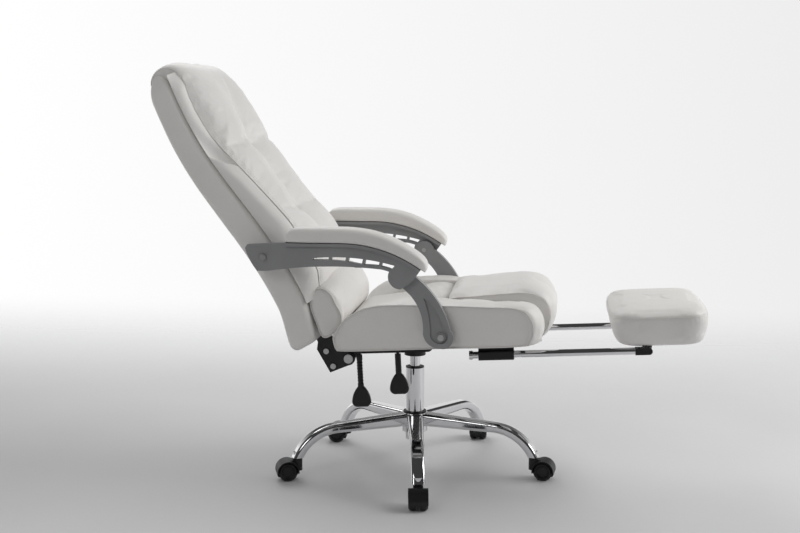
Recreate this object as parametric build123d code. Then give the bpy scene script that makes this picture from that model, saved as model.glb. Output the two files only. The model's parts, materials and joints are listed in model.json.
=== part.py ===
from build123d import *
import os
from math import asin, cos, hypot, pi, radians, sin, sqrt

# A reclining office chair with a pull-out footrest, in millimetres.
# The origin is on the floor under the gas column, +X is the way the sitter faces, +Z is up.

# Clearances
running_fit = 0.06        # radial, between a shaft and what turns or slides on it
side_gap = 0.5            # between flat faces that move past each other
soft_gap = 0.6            # between neighbouring upholstered pieces
seam_gap = 2.2            # between the back's padding and its edge bolsters

# Five-star base
leg_count = 5
base_turn = 7.7           # degrees, the base as it stands under the seat
caster_circle = 331       # radius from the column to the caster stems
hub_dia = 68
hub_top = 158
hub_height = 52
hub_ring_height = 4
leg_root_width = 46
leg_root_height = 34
leg_tip_width = 36
leg_tip_height = 25
leg_edge = 9              # radius along the edges of a leg
leg_droop = 2.5           # degrees below level, from the hub to the bend
leg_tip_slope = 62        # degrees below level, after the bend
leg_bend_radius = 125
leg_tip_bottom = 60       # height of the flat under a leg, where the caster seats
stem_socket_dia = 22
stem_socket_height = 15
leg_root_depth = 6        # how far a leg reaches into the hub

# Casters
wheel_dia = 50
wheel_width = 19
wheel_edge = 4
wheel_dish_depth = 4
wheel_dish_dia = 36
caster_web = 10           # middle wall between the two wheels
caster_trail = 28
hood_wall = 2.6
wheel_to_hood = 1.6
hood_skirt = 5            # how far the hood reaches below the axle
stem_dia = 11
stem_length = 13
caster_neck_dia = 25
axle_dia = 6
caster_headings = (277, 352, 90, 180, 200)   # degrees, which way each caster trails

# Gas column
column_dia = 50
column_wall = 2
column_bottom = 84
cylinder_show = 35        # cylinder in sight between the column and the mechanism
bush_length = 60
bush_flange = 3
cylinder_dia = 28
cylinder_bore = 22
cylinder_bottom = 100
cylinder_end_wall = 12
cylinder_seat_depth = 42  # taper length held in the mechanism
cylinder_taper = 1.0      # radius lost over that length
rod_dia = 10
rod_top = 230
piston_height = 10
rod_flange_dia = 20
rod_flange_height = 3
rod_tail = 9              # rod below the floor of the column
bearing_height = 8
bearing_dia = 40
clip_height = 3.5
clip_dia = 18

# Seat place
seat_height = 381         # underside of the seat board over the column
seat_tilt = 3             # degrees, front edge up

# Recline mechanism, in the seat's own axes
tray_rear = -174
tray_front = 58
tray_half_width = 112
tray_plate = 4
tray_depth = 36
tray_corner = 14
socket_dia = 58
socket_drop = 64          # end of the socket below the seat board
hinge_x = -164            # recline hinge, behind the column
hinge_drop = 56           # recline hinge below the seat board
hinge_dia = 14
hinge_lug_radius = 17
hinge_head_dia = 24
hinge_head_height = 5
mechanism_bolt_dia = 8
mechanism_bolt_head = 14
mechanism_bolt_head_height = 5
mechanism_bolt_inset = 22

# Hanging levers on the right side, in the seat's own axes
lever_y = -140
lift_lever_x = -32
recline_lever_x = -134
lever_pivot_drop = 22     # pivot below the seat board
lever_pivot_out = 9       # pivot beyond the tray's side
lever_pin_dia = 6
lever_eye_dia = 15
lever_eye_length = 14
lever_lug = 4
lever_rod_dia = 8
lift_lever_length = 118   # pivot to the end of the paddle
recline_lever_length = 150
stalk_dia = 16
stalk_rib = 1.4
stalk_rib_pitch = 8
paddle_width = 49
paddle_height = 54
paddle_thickness = 14
paddle_edge = 3

# Seat, in its own axes: x forward, z up from the underside of the board
board_thickness = 15
board_rear = -150
board_front = 300
board_half_width = 236
rail_thickness = 18
rail_top = 62
rail_rear = 40
rail_front = 160
seat_half_width = 258
seat_rear = -184
seat_front = 352
bolster_top = 118
bolster_inner = 166
bolster_ease = 67         # how far the crest starts further forward along the inner side, for the lumbar roll
bolster_crest = 112       # rear end to the start of the crest
bolster_nose = 62         # length of the rounded nose
seat_heel = 22            # rear ends of the cushions, tucked in below
centre_top = 118
centre_rear_height = 26
centre_edge = 4           # front edge of the seat cushion below its top
centre_flat = 140         # level part behind that edge
centre_dip = 38           # how far the cushion has dropped at the end of the level part
roll_rear = 106
roll_front = 383
roll_top = 136
roll_nose_bottom = 342
roll_brow = 52            # length of the rounded brow

# Back, in its own axes: hinge at the origin, z up along the back, x forward
back_lean = 30            # degrees behind upright, at rest
back_bottom = 90
back_top = 910
bed_mid = -4              # where the padding meets the back panel, on average
bed_swing = 19            # how far the S-shaped panel swings either way
lumbar_height = 290       # furthest forward
shoulder_height = 710     # furthest back
band_thickness = 68       # side panel, from the rear cover to the padding
back_half_width = 246
back_foot_narrowing = 20
back_head_narrowing = 14
back_waist = 330
back_shoulder = 640
back_corner = 42          # head corners, seen from the front
back_rim_radius = 20      # rear cover's rounded rim
back_end_radius = 30
back_board_thickness = 12
back_board_inset = 30
back_board_bottom = 128
back_board_top = 862
edge_bolster_width = 34
edge_bolster_depth = 40
cushion_bottom = 232
cushion_top = 888
cushion_head_radius = 110  # the padding rolls over to the top of the back
cushion_seam = 34         # height of the cushion's edge over the bed
crown_height = 76
channel_height = 50       # crown left where the padding is sewn down across
channel_reach = 52        # how far above and below a tuft the padding is drawn in
low_row_lift = 14         # extra fullness of the lowest row
low_row_middle = 352
low_row_reach = 160
crease_share = 0.62       # of the local crown, left in the middle crease
upper_tuft = 645
lower_tuft = 436
lumbar_bottom = 88
lumbar_top = 224
lumbar_half_width = 215
lumbar_front = 108
lumbar_end_front = 66

# Back brackets, in the back's own axes
bracket_plate = 6
bracket_radius = 16
bracket_top = 196
bracket_rear = -62
bracket_front = -8
bracket_flange = 30
bracket_shoulder = 70     # where the rear edge starts to slope in
bracket_lap = 2           # gap between a flange and the plywood, filled by the cover
spacer_dia = 18
spacer_places = ((-42, 46), (-46, 2))
bracket_bolt_dia = 8
bracket_bolt_head = 15
bracket_bolt_head_height = 5

# Arms, over the floor frame for the left side
arm_pivot_x = -347        # beam on the back
arm_pivot_rise = 235      # over the seat board, as are the next two
knuckle_x = -4            # beam on the post
knuckle_rise = 191
post_pivot_x = 95         # post on the seat
post_pivot_rise = 39
arm_y = 288               # middle of the arm pad
post_inner = 264
post_thickness = 22
beam_thickness = 18
beam_tail = 46            # beam behind its pivot
knuckle_radius = 31
post_eye_radius = 27
pin_dia = 12
pin_play = 6              # the open pivot's room around the pin
arm_bolt_dia = 8
arm_bolt_head = 16
arm_bolt_head_height = 6
arm_bolt_depth = 40       # beam's bolt in the back
carrier_width = 50
carrier_thickness = 8
window_count = 5
window_bar = 7
window_slant = 9
chord_thickness = 10
chord_sag = 3             # top chord's extra depth half way along
pad_width = 62
pad_thickness = 40
pad_edge = 13
pad_tip_reach = 22        # pad past the carrier's tip
carrier_rise = 36         # carrier over the beam's rear pivot
carrier_rear = 55         # carrier's rear end ahead of that pivot
carrier_bend = 146        # where the carrier starts to bend, behind the knuckle
carrier_tip = (50, 18)    # carrier's tip from the knuckle
chord_depth_rear = 37     # top chord over the windows
chord_depth_front = 24
window_height_rear = 4
window_height_front = 21
window_rear = 72          # first window behind the bend
window_front_share = 0.7  # last window's end, along the bend
beam_heel = 35            # beam below its rear pivot
post_foot_drop = 31       # post below its own pivot
post_foot_half = 33
post_waist = 9            # rear edge's bow, from the line between the post's two pivots
post_belly = 42           # front edge's bow
post_recess = 5

# Footrest, in the seat's own axes
rod_half_spacing = 182
rod_drop = 33             # rod axis below the seat board
slide_rod_dia = 18
slide_rod_rear = 158
collar_dia = 23
collar_length = 9
guide_rear = 182
guide_length = 90
guide_height = 25
guide_width = 32
guide_neck = 14
guide_flange = 4
guide_flange_width = 46
guide_screw_dia = 5
guide_screw_head = 9
foot_pivot_x = 610
pivot_tube_dia = 14
rod_end_length = 34       # behind the pivot
rod_end_lap = 23          # rod held in its end
rod_end_width = 26
rod_end_height = 17
foot_board_lift = 13      # pad underside over the pivot
foot_board_thickness = 12
foot_board_inset = 18
foot_rear = 512
foot_front = 764
foot_half_width = 205
foot_thickness = 92
foot_corner = 20
knuckle_half_spacing = 110
knuckle_length = 30
knuckle_wall = 5
foot_plate = 4
pivot_tube_wall = 2

# Values that follow from the ones above
wheel_radius = wheel_dia / 2
hood_radius = wheel_radius + wheel_to_hood + hood_wall
caster_half_width = caster_web / 2 + side_gap + wheel_width + side_gap
caster_neck_top = leg_tip_bottom - side_gap
socket_bottom = seat_height - socket_drop
hinge_height = seat_height - hinge_drop
column_top = socket_bottom - cylinder_show
cylinder_top = socket_bottom + cylinder_seat_depth
column_floor = column_bottom + column_wall
bearing_top = column_floor + bearing_height
post_outer = post_inner + post_thickness
beam_inner = post_outer + side_gap
beam_outer = beam_inner + beam_thickness
hinge_face = tray_half_width + side_gap
bracket_outer = hinge_face + bracket_plate
foot_bottom = -rod_drop + foot_board_lift
foot_top = foot_bottom + foot_thickness
rod_tip = foot_pivot_x - rod_end_length + rod_end_lap
arm_pivot = (arm_pivot_x, seat_height + arm_pivot_rise)
knuckle = (knuckle_x, seat_height + knuckle_rise)
post_pivot = (post_pivot_x, seat_height + post_pivot_rise)

seat_place = Location((0, 0, seat_height), (0, -seat_tilt, 0))
back_place = Location((hinge_x, 0, hinge_height), (0, -back_lean, 0))


def seat_point(x, z):
    """Seat axes of a point given over the floor frame."""
    tilt = radians(seat_tilt)
    rise = z - seat_height
    return x * cos(tilt) + rise * sin(tilt), rise * cos(tilt) - x * sin(tilt)


def back_point(x, z):
    """Back axes of a point given over the floor frame."""
    lean = radians(back_lean)
    dx, dz = x - hinge_x, z - hinge_height
    return dx * cos(lean) + dz * sin(lean), dz * cos(lean) - dx * sin(lean)


def side_plane(y):
    """Upright plane at this y, with x forward and z up."""
    return Plane(origin=(0, y, 0), x_dir=(1, 0, 0), z_dir=(0, -1, 0))


def level_plane(z):
    return Plane(origin=(0, 0, z), x_dir=(1, 0, 0), z_dir=(0, 0, 1))


def profile(plane, *stops):
    """Closed face on a plane. A stop is a corner (u, v), a pair of points for an arc's middle and end,
    or a list of points that a smooth curve runs through."""
    def place(point):
        return plane.from_local_coords((point[0], point[1], 0))

    start = stops[0]
    here = start
    edges = []
    for stop in stops[1:] + (start,):
        if isinstance(stop, list):
            edges.append(Spline([place(here)] + [place(point) for point in stop]))
            end = stop[-1]
        elif isinstance(stop[0], tuple):
            middle, end = stop
            edges.append(ThreePointArc(place(here), place(middle), place(end)))
        else:
            end = stop
            if abs(end[0] - here[0]) + abs(end[1] - here[1]) > 1e-6:
                edges.append(Line(place(here), place(end)))
        here = end
    return make_face(edges)


def plate(y_from, y_to, *stops):
    """A side outline given a thickness across the chair."""
    return extrude(profile(side_plane(y_from), *stops), amount=y_to - y_from, dir=(0, 1, 0))


def rod_along_y(dia, x, z, y_from, y_to):
    return Pos(x, (y_from + y_to) / 2, z) * Rot(90, 0, 0) * Cylinder(dia / 2, y_to - y_from)


def rod_along_x(dia, y, z, x_from, x_to):
    return Pos((x_from + x_to) / 2, y, z) * Rot(0, 90, 0) * Cylinder(dia / 2, x_to - x_from)


def rod_along_z(dia, x, y, z_from, z_to):
    return Pos(x, y, (z_from + z_to) / 2) * Cylinder(dia / 2, z_to - z_from)


def block(x_from, x_to, y_from, y_to, z_from, z_to):
    middle = ((x_from + x_to) / 2, (y_from + y_to) / 2, (z_from + z_to) / 2)
    return Pos(*middle) * Box(x_to - x_from, y_to - y_from, z_to - z_from)


def other_side(shape):
    return mirror(shape, about=Plane.XZ)


def group(shapes):
    return Compound(children=[solid for shape in shapes for solid in shape.solids()])


# Five-star base

def leg_section(r, z, slope, width, height):
    """Rounded cross section of a leg, square to its middle line."""
    across = Plane(origin=(r, 0, z), x_dir=(0, 1, 0), z_dir=(cos(slope), 0, -sin(slope)))
    return across * RectangleRounded(width, height, leg_edge)


def base_leg():
    """One leg along +X: a tapered run out of the hub, a bend down, and a tip cut level over its caster."""
    droop, tip = radians(leg_droop), radians(leg_tip_slope)
    start_z = hub_top - leg_root_height / 2
    bend_run = leg_bend_radius * (sin(tip) - sin(droop))
    bend_drop = leg_bend_radius * (cos(droop) - cos(tip))
    reach = (caster_circle - bend_run) / cos(droop)
    spare = start_z - reach * sin(droop) - bend_drop - leg_tip_bottom
    tip_length = spare / (sin(tip) - cos(tip) * sin(droop) / cos(droop))
    straight = reach - tip_length * cos(tip) / cos(droop)
    root = hub_dia / 2 - leg_root_depth
    root_section = leg_section(root * cos(droop), start_z - root * sin(droop), droop,
                               leg_root_width, leg_root_height)
    bend_x, bend_z = straight * cos(droop), start_z - straight * sin(droop)
    bend_section = leg_section(bend_x, bend_z, droop, leg_tip_width, leg_tip_height)
    centre = (bend_x - leg_bend_radius * sin(droop), 0, bend_z - leg_bend_radius * cos(droop))
    bend = revolve(bend_section, axis=Axis(centre, (0, 1, 0)), revolution_arc=leg_tip_slope - leg_droop)
    tip_section = leg_section(bend_x + bend_run, bend_z - bend_drop, tip, leg_tip_width, leg_tip_height)
    tip_piece = extrude(tip_section, amount=max(tip_length, 0) + leg_tip_height)
    leg = loft([root_section, bend_section], ruled=True) + bend + tip_piece
    leg -= block(0, 2 * caster_circle, -leg_root_width, leg_root_width,
                 leg_tip_bottom - 3 * leg_tip_height, leg_tip_bottom)
    leg += rod_along_z(stem_socket_dia, caster_circle, 0, leg_tip_bottom, leg_tip_bottom + stem_socket_height)
    bore_top = leg_tip_bottom + stem_length + 2 * side_gap
    return leg - rod_along_z(stem_dia + 2 * running_fit, caster_circle, 0, leg_tip_bottom, bore_top)


def leg_angle(index):
    return -90 + base_turn + 360 / leg_count * index


def star_base():
    hub = rod_along_z(hub_dia, 0, 0, hub_top - hub_height, hub_top)
    leg = base_leg()
    star = hub
    for index in range(leg_count):
        star += Rot(0, 0, leg_angle(index)) * leg
    return star - rod_along_z(column_dia, 0, 0, column_bottom, column_top)


def caster_place(index):
    angle = radians(leg_angle(index))
    heading = caster_headings[index % len(caster_headings)]
    return Location((caster_circle * cos(angle), caster_circle * sin(angle), 0), (0, 0, heading))


def caster_fork():
    """Hood, middle wall, neck and stem of one twin-wheel caster, trailing along +X from its stem."""
    axle = (caster_trail, wheel_radius)
    half = caster_half_width
    hood = rod_along_y(2 * hood_radius, *axle, -half, half)
    neck = rod_along_z(caster_neck_dia, 0, 0, wheel_radius, caster_neck_top)
    shoulder = block(0, caster_trail, -caster_neck_dia / 2, caster_neck_dia / 2,
                     wheel_radius, wheel_radius + hood_radius)
    body = hood + neck + shoulder
    skirt = wheel_radius - hood_skirt
    body -= block(-hood_radius, 3 * hood_radius, -half, -caster_web / 2, -wheel_dia, skirt)
    body -= block(-hood_radius, 3 * hood_radius, caster_web / 2, half, -wheel_dia, skirt)
    body -= block(-hood_radius, 3 * hood_radius, -half, half, -wheel_dia, wheel_radius / 3)
    well = wheel_radius + wheel_to_hood
    for side in (-1, 1):
        near, far = sorted((side * caster_web / 2, side * (half + 1)))
        body -= rod_along_y(2 * well, *axle, near, far)
    body -= rod_along_y(axle_dia + 2 * running_fit, *axle, -half, half)
    return body + rod_along_z(stem_dia, 0, 0, caster_neck_top - 4, leg_tip_bottom + stem_length)


def caster_wheels():
    """Two dished wheels on their axle."""
    inner = caster_web / 2 + side_gap
    outer = inner + wheel_width
    rim = wheel_radius
    dish = wheel_dish_dia / 2
    half_section = profile(
        Plane.XZ,
        (0, inner), (rim, inner), (rim, outer - wheel_edge), (rim - wheel_edge, outer),
        (dish, outer), (dish - wheel_dish_depth, outer - wheel_dish_depth), (0, outer - wheel_dish_depth))
    wheel = Rot(-90, 0, 0) * revolve(half_section, axis=Axis.Z)
    axle = rod_along_y(axle_dia, 0, 0, -inner - 1, inner + 1)
    return Pos(caster_trail, 0, wheel_radius) * (wheel + other_side(wheel) + axle)


# Gas column

def column_tube():
    tube = rod_along_z(column_dia, 0, 0, column_bottom, column_top)
    tube -= rod_along_z(column_dia - 2 * column_wall, 0, 0, column_floor, column_top)
    return tube - rod_along_z(rod_dia + 1, 0, 0, column_bottom, column_floor)


def column_bush():
    bush = rod_along_z(column_dia - 2 * column_wall, 0, 0, column_top - bush_length, column_top)
    bush += rod_along_z(column_dia, 0, 0, column_top, column_top + bush_flange)
    bore = cylinder_dia + 2 * running_fit
    return bush - rod_along_z(bore, 0, 0, column_top - bush_length, column_top + bush_flange)


def hub_ring():
    ring = rod_along_z(hub_dia - 6, 0, 0, hub_top, hub_top + hub_ring_height)
    return ring - rod_along_z(column_dia, 0, 0, hub_top, hub_top + hub_ring_height)


def thrust_bearing():
    ring = rod_along_z(bearing_dia, 0, 0, column_floor, bearing_top)
    return ring - rod_along_z(rod_dia + 1, 0, 0, column_floor, bearing_top)


def piston_rod():
    rod = rod_along_z(rod_dia, 0, 0, column_bottom - rod_tail, rod_top)
    flange_bottom = bearing_top + side_gap / 2
    rod += rod_along_z(rod_flange_dia, 0, 0, flange_bottom, flange_bottom + rod_flange_height)
    piston_dia = cylinder_bore - 2 * running_fit
    return rod + rod_along_z(piston_dia, 0, 0, rod_top - piston_height, rod_top)


def rod_clip():
    clip_top = column_bottom - side_gap / 2
    ring = rod_along_z(clip_dia, 0, 0, clip_top - clip_height, clip_top)
    return ring - rod_along_z(rod_dia, 0, 0, clip_top - clip_height, clip_top)


def cylinder_section(extra):
    """Half section of the gas cylinder's outside, with its taper at the top, grown past the top by extra."""
    radius = cylinder_dia / 2
    return profile(side_plane(0), (0, cylinder_bottom), (radius, cylinder_bottom), (radius, socket_bottom),
                   (radius - cylinder_taper, cylinder_top + extra), (0, cylinder_top + extra))


def gas_cylinder():
    body = revolve(cylinder_section(0), axis=Axis.Z)
    inside = cylinder_bottom + cylinder_end_wall
    body -= rod_along_z(cylinder_bore, 0, 0, inside, cylinder_top - cylinder_end_wall)
    return body - rod_along_z(rod_dia + 2 * running_fit, 0, 0, cylinder_bottom, inside)


# Recline mechanism

def lever_pivots():
    return (lift_lever_x, recline_lever_x)


def lever_pivot_y():
    return -tray_half_width - lever_pivot_out


def mechanism_housing():
    """Pressed tray with side walls, hinge lugs, lever lugs and the socket for the gas cylinder."""
    lug_x, lug_z = seat_point(hinge_x, hinge_height)
    wall_outline = (
        (tray_rear, 0), (tray_front, 0), (tray_front, -tray_depth + tray_corner),
        ((tray_front - tray_corner * 0.3, -tray_depth + tray_corner * 0.3),
         (tray_front - tray_corner, -tray_depth)),
        (lug_x + 2 * hinge_lug_radius, -tray_depth), (lug_x + hinge_lug_radius, lug_z),
        ((lug_x, lug_z - hinge_lug_radius), (lug_x - hinge_lug_radius, lug_z)))
    tray = block(tray_rear, tray_front, -tray_half_width, tray_half_width, -tray_plate, 0)
    for side in (-1, 1):
        near, far = sorted((side * (tray_half_width - tray_plate), side * tray_half_width))
        tray += plate(near, far, *wall_outline)
    tray += block(tray_rear + tray_plate, tray_rear + 2 * tray_plate, -tray_half_width, tray_half_width,
                  -tray_depth / 2, 0)
    tray += block(tray_front - tray_plate, tray_front, -tray_half_width, tray_half_width,
                  -tray_depth + tray_corner, 0)
    for x in lever_pivots():
        for end in (-1, 1):
            middle = x + end * (lever_eye_length / 2 + side_gap + lever_lug / 2)
            tray += block(middle - lever_lug / 2, middle + lever_lug / 2, lever_pivot_y() - lever_pin_dia,
                          -tray_half_width, -lever_pivot_drop - lever_pin_dia, 0)
        reach = lever_eye_length / 2 + side_gap + lever_lug
        tray += rod_along_x(lever_pin_dia, lever_pivot_y(), -lever_pivot_drop, x - reach, x + reach)
    for x, y in mechanism_bolt_places():
        tray -= rod_along_z(mechanism_bolt_dia, x, y, -tray_plate, 0)
    tray = seat_place * tray
    tray -= rod_along_y(hinge_dia, hinge_x, hinge_height, -tray_half_width, tray_half_width)
    socket = rod_along_z(socket_dia, 0, 0, socket_bottom, seat_height)
    above = seat_place * block(-socket_dia, socket_dia, -socket_dia, socket_dia, -tray_plate / 2, tray_depth)
    return tray + (socket - above) - revolve(cylinder_section(tray_depth), axis=Axis.Z)


def mechanism_bolt_places():
    across = tray_half_width - mechanism_bolt_inset
    lengthways = (tray_rear + 2 * mechanism_bolt_inset, tray_front - mechanism_bolt_inset)
    return [(x, y) for x in lengthways for y in (-across, across)]


def mechanism_bolts():
    bolts = []
    for x, y in mechanism_bolt_places():
        bolt = rod_along_z(mechanism_bolt_dia, x, y, -tray_plate, board_thickness)
        head = Pos(x, y, -tray_plate - mechanism_bolt_head_height / 2) * extrude(
            RegularPolygon(mechanism_bolt_head / 2, 6), amount=mechanism_bolt_head_height / 2, both=True)
        bolts.append(seat_place * (bolt + head))
    return group(bolts)


def hinge_shaft():
    end = bracket_outer + side_gap
    shaft = rod_along_y(hinge_dia, hinge_x, hinge_height, -end, end)
    for side in (-1, 1):
        near, far = sorted((side * end, side * (end + hinge_head_height)))
        head = rod_along_y(hinge_head_dia, hinge_x, hinge_height, near, far)
        shaft += head
    return shaft


def lever_rod(x, length):
    """Eye on its pivot, a short arm outwards and a wire core down the stalk."""
    pivot_y = lever_pivot_y()
    drop = -lever_pivot_drop
    eye = rod_along_x(lever_eye_dia, pivot_y, drop, x - lever_eye_length / 2, x + lever_eye_length / 2)
    arm = rod_along_y(lever_rod_dia, x, drop, lever_y, pivot_y)
    elbow = Pos(x, lever_y, drop) * Sphere(lever_rod_dia / 2)
    core = rod_along_z(lever_rod_dia, x, lever_y, drop - length + paddle_height * 0.6, drop)
    bore = rod_along_x(lever_pin_dia + 2 * running_fit, pivot_y, drop, x - length, x + length)
    return seat_place * (eye + arm + elbow + core - bore)


def paddle_section(x, y, bottom, inset):
    """Side outline of a paddle: broad and rounded below, drawn in to the stalk above."""
    half = paddle_width / 2 - inset
    low, neck = bottom + inset, bottom + paddle_height - inset
    waist = stalk_dia / 2 - inset / 2
    shoulder, belly = low + paddle_height * 0.34, low + paddle_height * 0.68
    return profile(
        side_plane(y),
        (x - half * 0.55, low), (x + half * 0.55, low),
        ((x + half * 0.9, low + half * 0.22), (x + half, shoulder)),
        ((x + half * 0.8, belly), (x + waist, neck)), (x - waist, neck),
        ((x - half * 0.8, belly), (x - half, shoulder)),
        ((x - half * 0.9, low + half * 0.22), (x - half * 0.55, low)))


def lever_paddle(x, length, ribbed):
    """Moulded stalk and rounded paddle that hang on the wire core."""
    top = -lever_pivot_drop - stalk_dia * 0.7
    bottom = -lever_pivot_drop - length
    neck = bottom + paddle_height
    foot = neck - paddle_height / 4
    radius = stalk_dia / 2
    turned = [(0, foot), (radius, foot), (radius, neck + stalk_rib_pitch)]
    if ribbed:
        count = int((top - neck - 2 * stalk_rib_pitch) / stalk_rib_pitch)
        for index in range(count):
            low = neck + stalk_rib_pitch * (index + 1)
            turned += [(radius - stalk_rib, low + stalk_rib_pitch / 2), (radius, low + stalk_rib_pitch)]
    turned += [(radius, top), (0, top)]
    stalk = Pos(x, lever_y, 0) * revolve(profile(Plane.XZ, *turned), axis=Axis.Z)
    faces = ((-0.5, paddle_edge), (-0.5 + paddle_edge / paddle_thickness, 0),
             (0.5 - paddle_edge / paddle_thickness, 0), (0.5, paddle_edge))
    sections = [paddle_section(x, lever_y + paddle_thickness * share, bottom, inset) for share, inset in faces]
    paddle = loft(sections, ruled=True)
    core = rod_along_z(lever_rod_dia, x, lever_y, bottom + paddle_height * 0.6, top)
    return seat_place * (paddle + stalk - core)


# Seat

def board_blank():
    """Plywood board with its side rails, before drilling, in the seat's axes."""
    board = block(board_rear, board_front, -board_half_width, board_half_width, 0, board_thickness)
    for side in (-1, 1):
        near, far = sorted((side * (board_half_width - rail_thickness), side * board_half_width))
        board += block(rail_rear, rail_front, near, far, board_thickness, rail_top)
    return board


def seat_board():
    """Plywood board with the side rails that the arm posts bolt to."""
    board = board_blank()
    for x, y in mechanism_bolt_places():
        board -= rod_along_z(mechanism_bolt_dia, x, y, 0, board_thickness)
    for x, y in guide_screw_places():
        board -= rod_along_z(guide_screw_dia, x, y, 0, board_thickness)
    return seat_place * board - arm_post_bolt() - other_side(arm_post_bolt())


def bolster_section(y, inset, ease):
    """Side outline of a seat bolster: rounded rear, long top and a rounded nose, drawn in by inset."""
    rear, front, top = seat_rear + 0.3 * inset, seat_front - inset, bolster_top - 0.5 * inset
    crest = rear + bolster_crest + ease
    return profile(
        side_plane(y),
        (rear + seat_heel, 0), (front - bolster_nose / 2, 0),
        ((front, top * 0.42), (front - bolster_nose, top * 0.93)),
        (((crest + front) / 2, top * 1.03), (crest, top)),
        ((rear + bolster_crest / 3 + 0.55 * ease, top * 0.72 - 0.35 * ease), (rear, top * 0.26)))


def seat_bolster():
    """Left bolster: drawn-in side panel, rolled crest and a tucked inner edge."""
    rise = seat_half_width - bolster_inner
    shape = ((0.005, 17, 1), (0.16, 4, 1), (0.42, 0, 0.85), (0.74, 7, 0.4), (0.93, 19, 0.08), (1, 27, 0))
    sections = [bolster_section(bolster_inner + rise * share, inset, bolster_ease * ease)
                for share, inset, ease in shape]
    return seat_place * (loft(sections) - board_blank()) - arm_post_bolt()


def centre_section(y, droop):
    """Side outline of the centre cushion: low under the lumbar roll, and rising to the thigh roll."""
    front = roll_rear - soft_gap
    top = centre_top - droop
    return profile(
        side_plane(y),
        (seat_rear + seat_heel, 0), (front, 0), (front, top - centre_edge),
        ((front - centre_flat * 0.45, top - centre_edge), (front - centre_flat, top - centre_dip)),
        ((seat_rear + centre_flat * 0.6, top * 0.42), (seat_rear + seat_heel / 4, centre_rear_height)))


def seat_cushion():
    """Centre cushion with a gentle crown across the seat."""
    half = bolster_inner - soft_gap
    shape = ((-1, 22), (-0.93, 10), (-0.5, 2), (0, 0), (0.5, 2), (0.93, 10), (1, 22))
    sections = [centre_section(half * share, droop) for share, droop in shape]
    return seat_place * (loft(sections) - board_blank())


def roll_section(y, inset):
    """Side outline of the thigh roll, a full waterfall front."""
    front, top = roll_front - inset, roll_top - inset
    return profile(
        side_plane(y),
        (roll_rear, 0), (roll_nose_bottom - inset * 0.5, 0),
        ((front - roll_brow * 0.17, top * 0.2), (front, top * 0.5)),
        ((front - roll_brow * 0.23, top * 0.83), (front - roll_brow, top)),
        ((front - roll_brow * 3, top * 0.985), (roll_rear + roll_brow / 2, top * 0.965)),
        ((roll_rear + roll_brow * 0.15, top * 0.93), (roll_rear, top * 0.86)))


def thigh_roll():
    half = bolster_inner - soft_gap
    shape = ((-1, 18), (-0.96, 9), (-0.8, 3), (0, 0), (0.8, 3), (0.96, 9), (1, 18))
    sections = [roll_section(half * share, inset) for share, inset in shape]
    return seat_place * (loft(sections) - board_blank())


# Footrest

def guide_screw_places():
    """Two screws per guide, through the outer side of its flange."""
    return [(x, side * (rod_half_spacing + guide_neck)) for side in (-1, 1)
            for x in (guide_rear + guide_length * 0.2, guide_rear + guide_length * 0.8)]


def footrest_guide():
    """Left slide guide: a sleeve round the rod on a neck and flange under the seat board."""
    y = rod_half_spacing
    front = guide_rear + guide_length
    half = guide_flange_width / 2
    sleeve = block(guide_rear, front, y - guide_width / 2, y + guide_width / 2,
                   -rod_drop - guide_height / 2, -rod_drop + guide_height / 2)
    sleeve = fillet(sleeve.edges().filter_by(Axis.X), guide_height / 5)
    neck = block(guide_rear, front, y - guide_neck / 2, y + guide_neck / 2, -rod_drop, 0)
    flange = block(guide_rear, front, y - half, y + half, -guide_flange, 0)
    bore = rod_along_x(slide_rod_dia + 2 * running_fit, y, -rod_drop, guide_rear, front)
    guide = sleeve + neck + flange - bore
    for x, screw_y in guide_screw_places():
        guide -= rod_along_z(guide_screw_dia, x, screw_y, -guide_flange, 0)
    return seat_place * guide


def guide_screws():
    screws = []
    for x, y in guide_screw_places():
        screw = rod_along_z(guide_screw_dia, x, y, -guide_flange, board_thickness)
        screw += rod_along_z(guide_screw_head, x, y, -guide_flange - guide_screw_dia / 2, -guide_flange)
        screws.append(seat_place * screw)
    return group(screws)


def footrest_rod():
    """Left chromed rod with its stop collar."""
    y = rod_half_spacing
    rod = rod_along_x(slide_rod_dia, y, -rod_drop, slide_rod_rear, rod_tip)
    collar = rod_along_x(collar_dia, y, -rod_drop, slide_rod_rear, slide_rod_rear + collar_length)
    return seat_place * (rod + collar)


def rod_end():
    """Block on the left rod's tip that ends in an eye round the pivot tube."""
    y_from, y_to = rod_half_spacing - rod_end_width / 2, rod_half_spacing + rod_end_width / 2
    rear, half = foot_pivot_x - rod_end_length, rod_end_height / 2
    body = block(rear, foot_pivot_x, y_from, y_to, -rod_drop - half, -rod_drop + half)
    body += rod_along_y(rod_end_height, foot_pivot_x, -rod_drop, y_from, y_to)
    body -= rod_along_x(slide_rod_dia, rod_half_spacing, -rod_drop, slide_rod_rear, rod_tip)
    return body - rod_along_y(pivot_tube_dia, foot_pivot_x, -rod_drop, 0, rod_half_spacing)


def rod_ends():
    return group([seat_place * rod_end(), seat_place * other_side(rod_end())])


def pivot_tube():
    half, bore = rod_half_spacing, pivot_tube_dia - 2 * pivot_tube_wall
    tube = rod_along_y(pivot_tube_dia, foot_pivot_x, -rod_drop, -half, half)
    return seat_place * (tube - rod_along_y(bore, foot_pivot_x, -rod_drop, -half, half))


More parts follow.
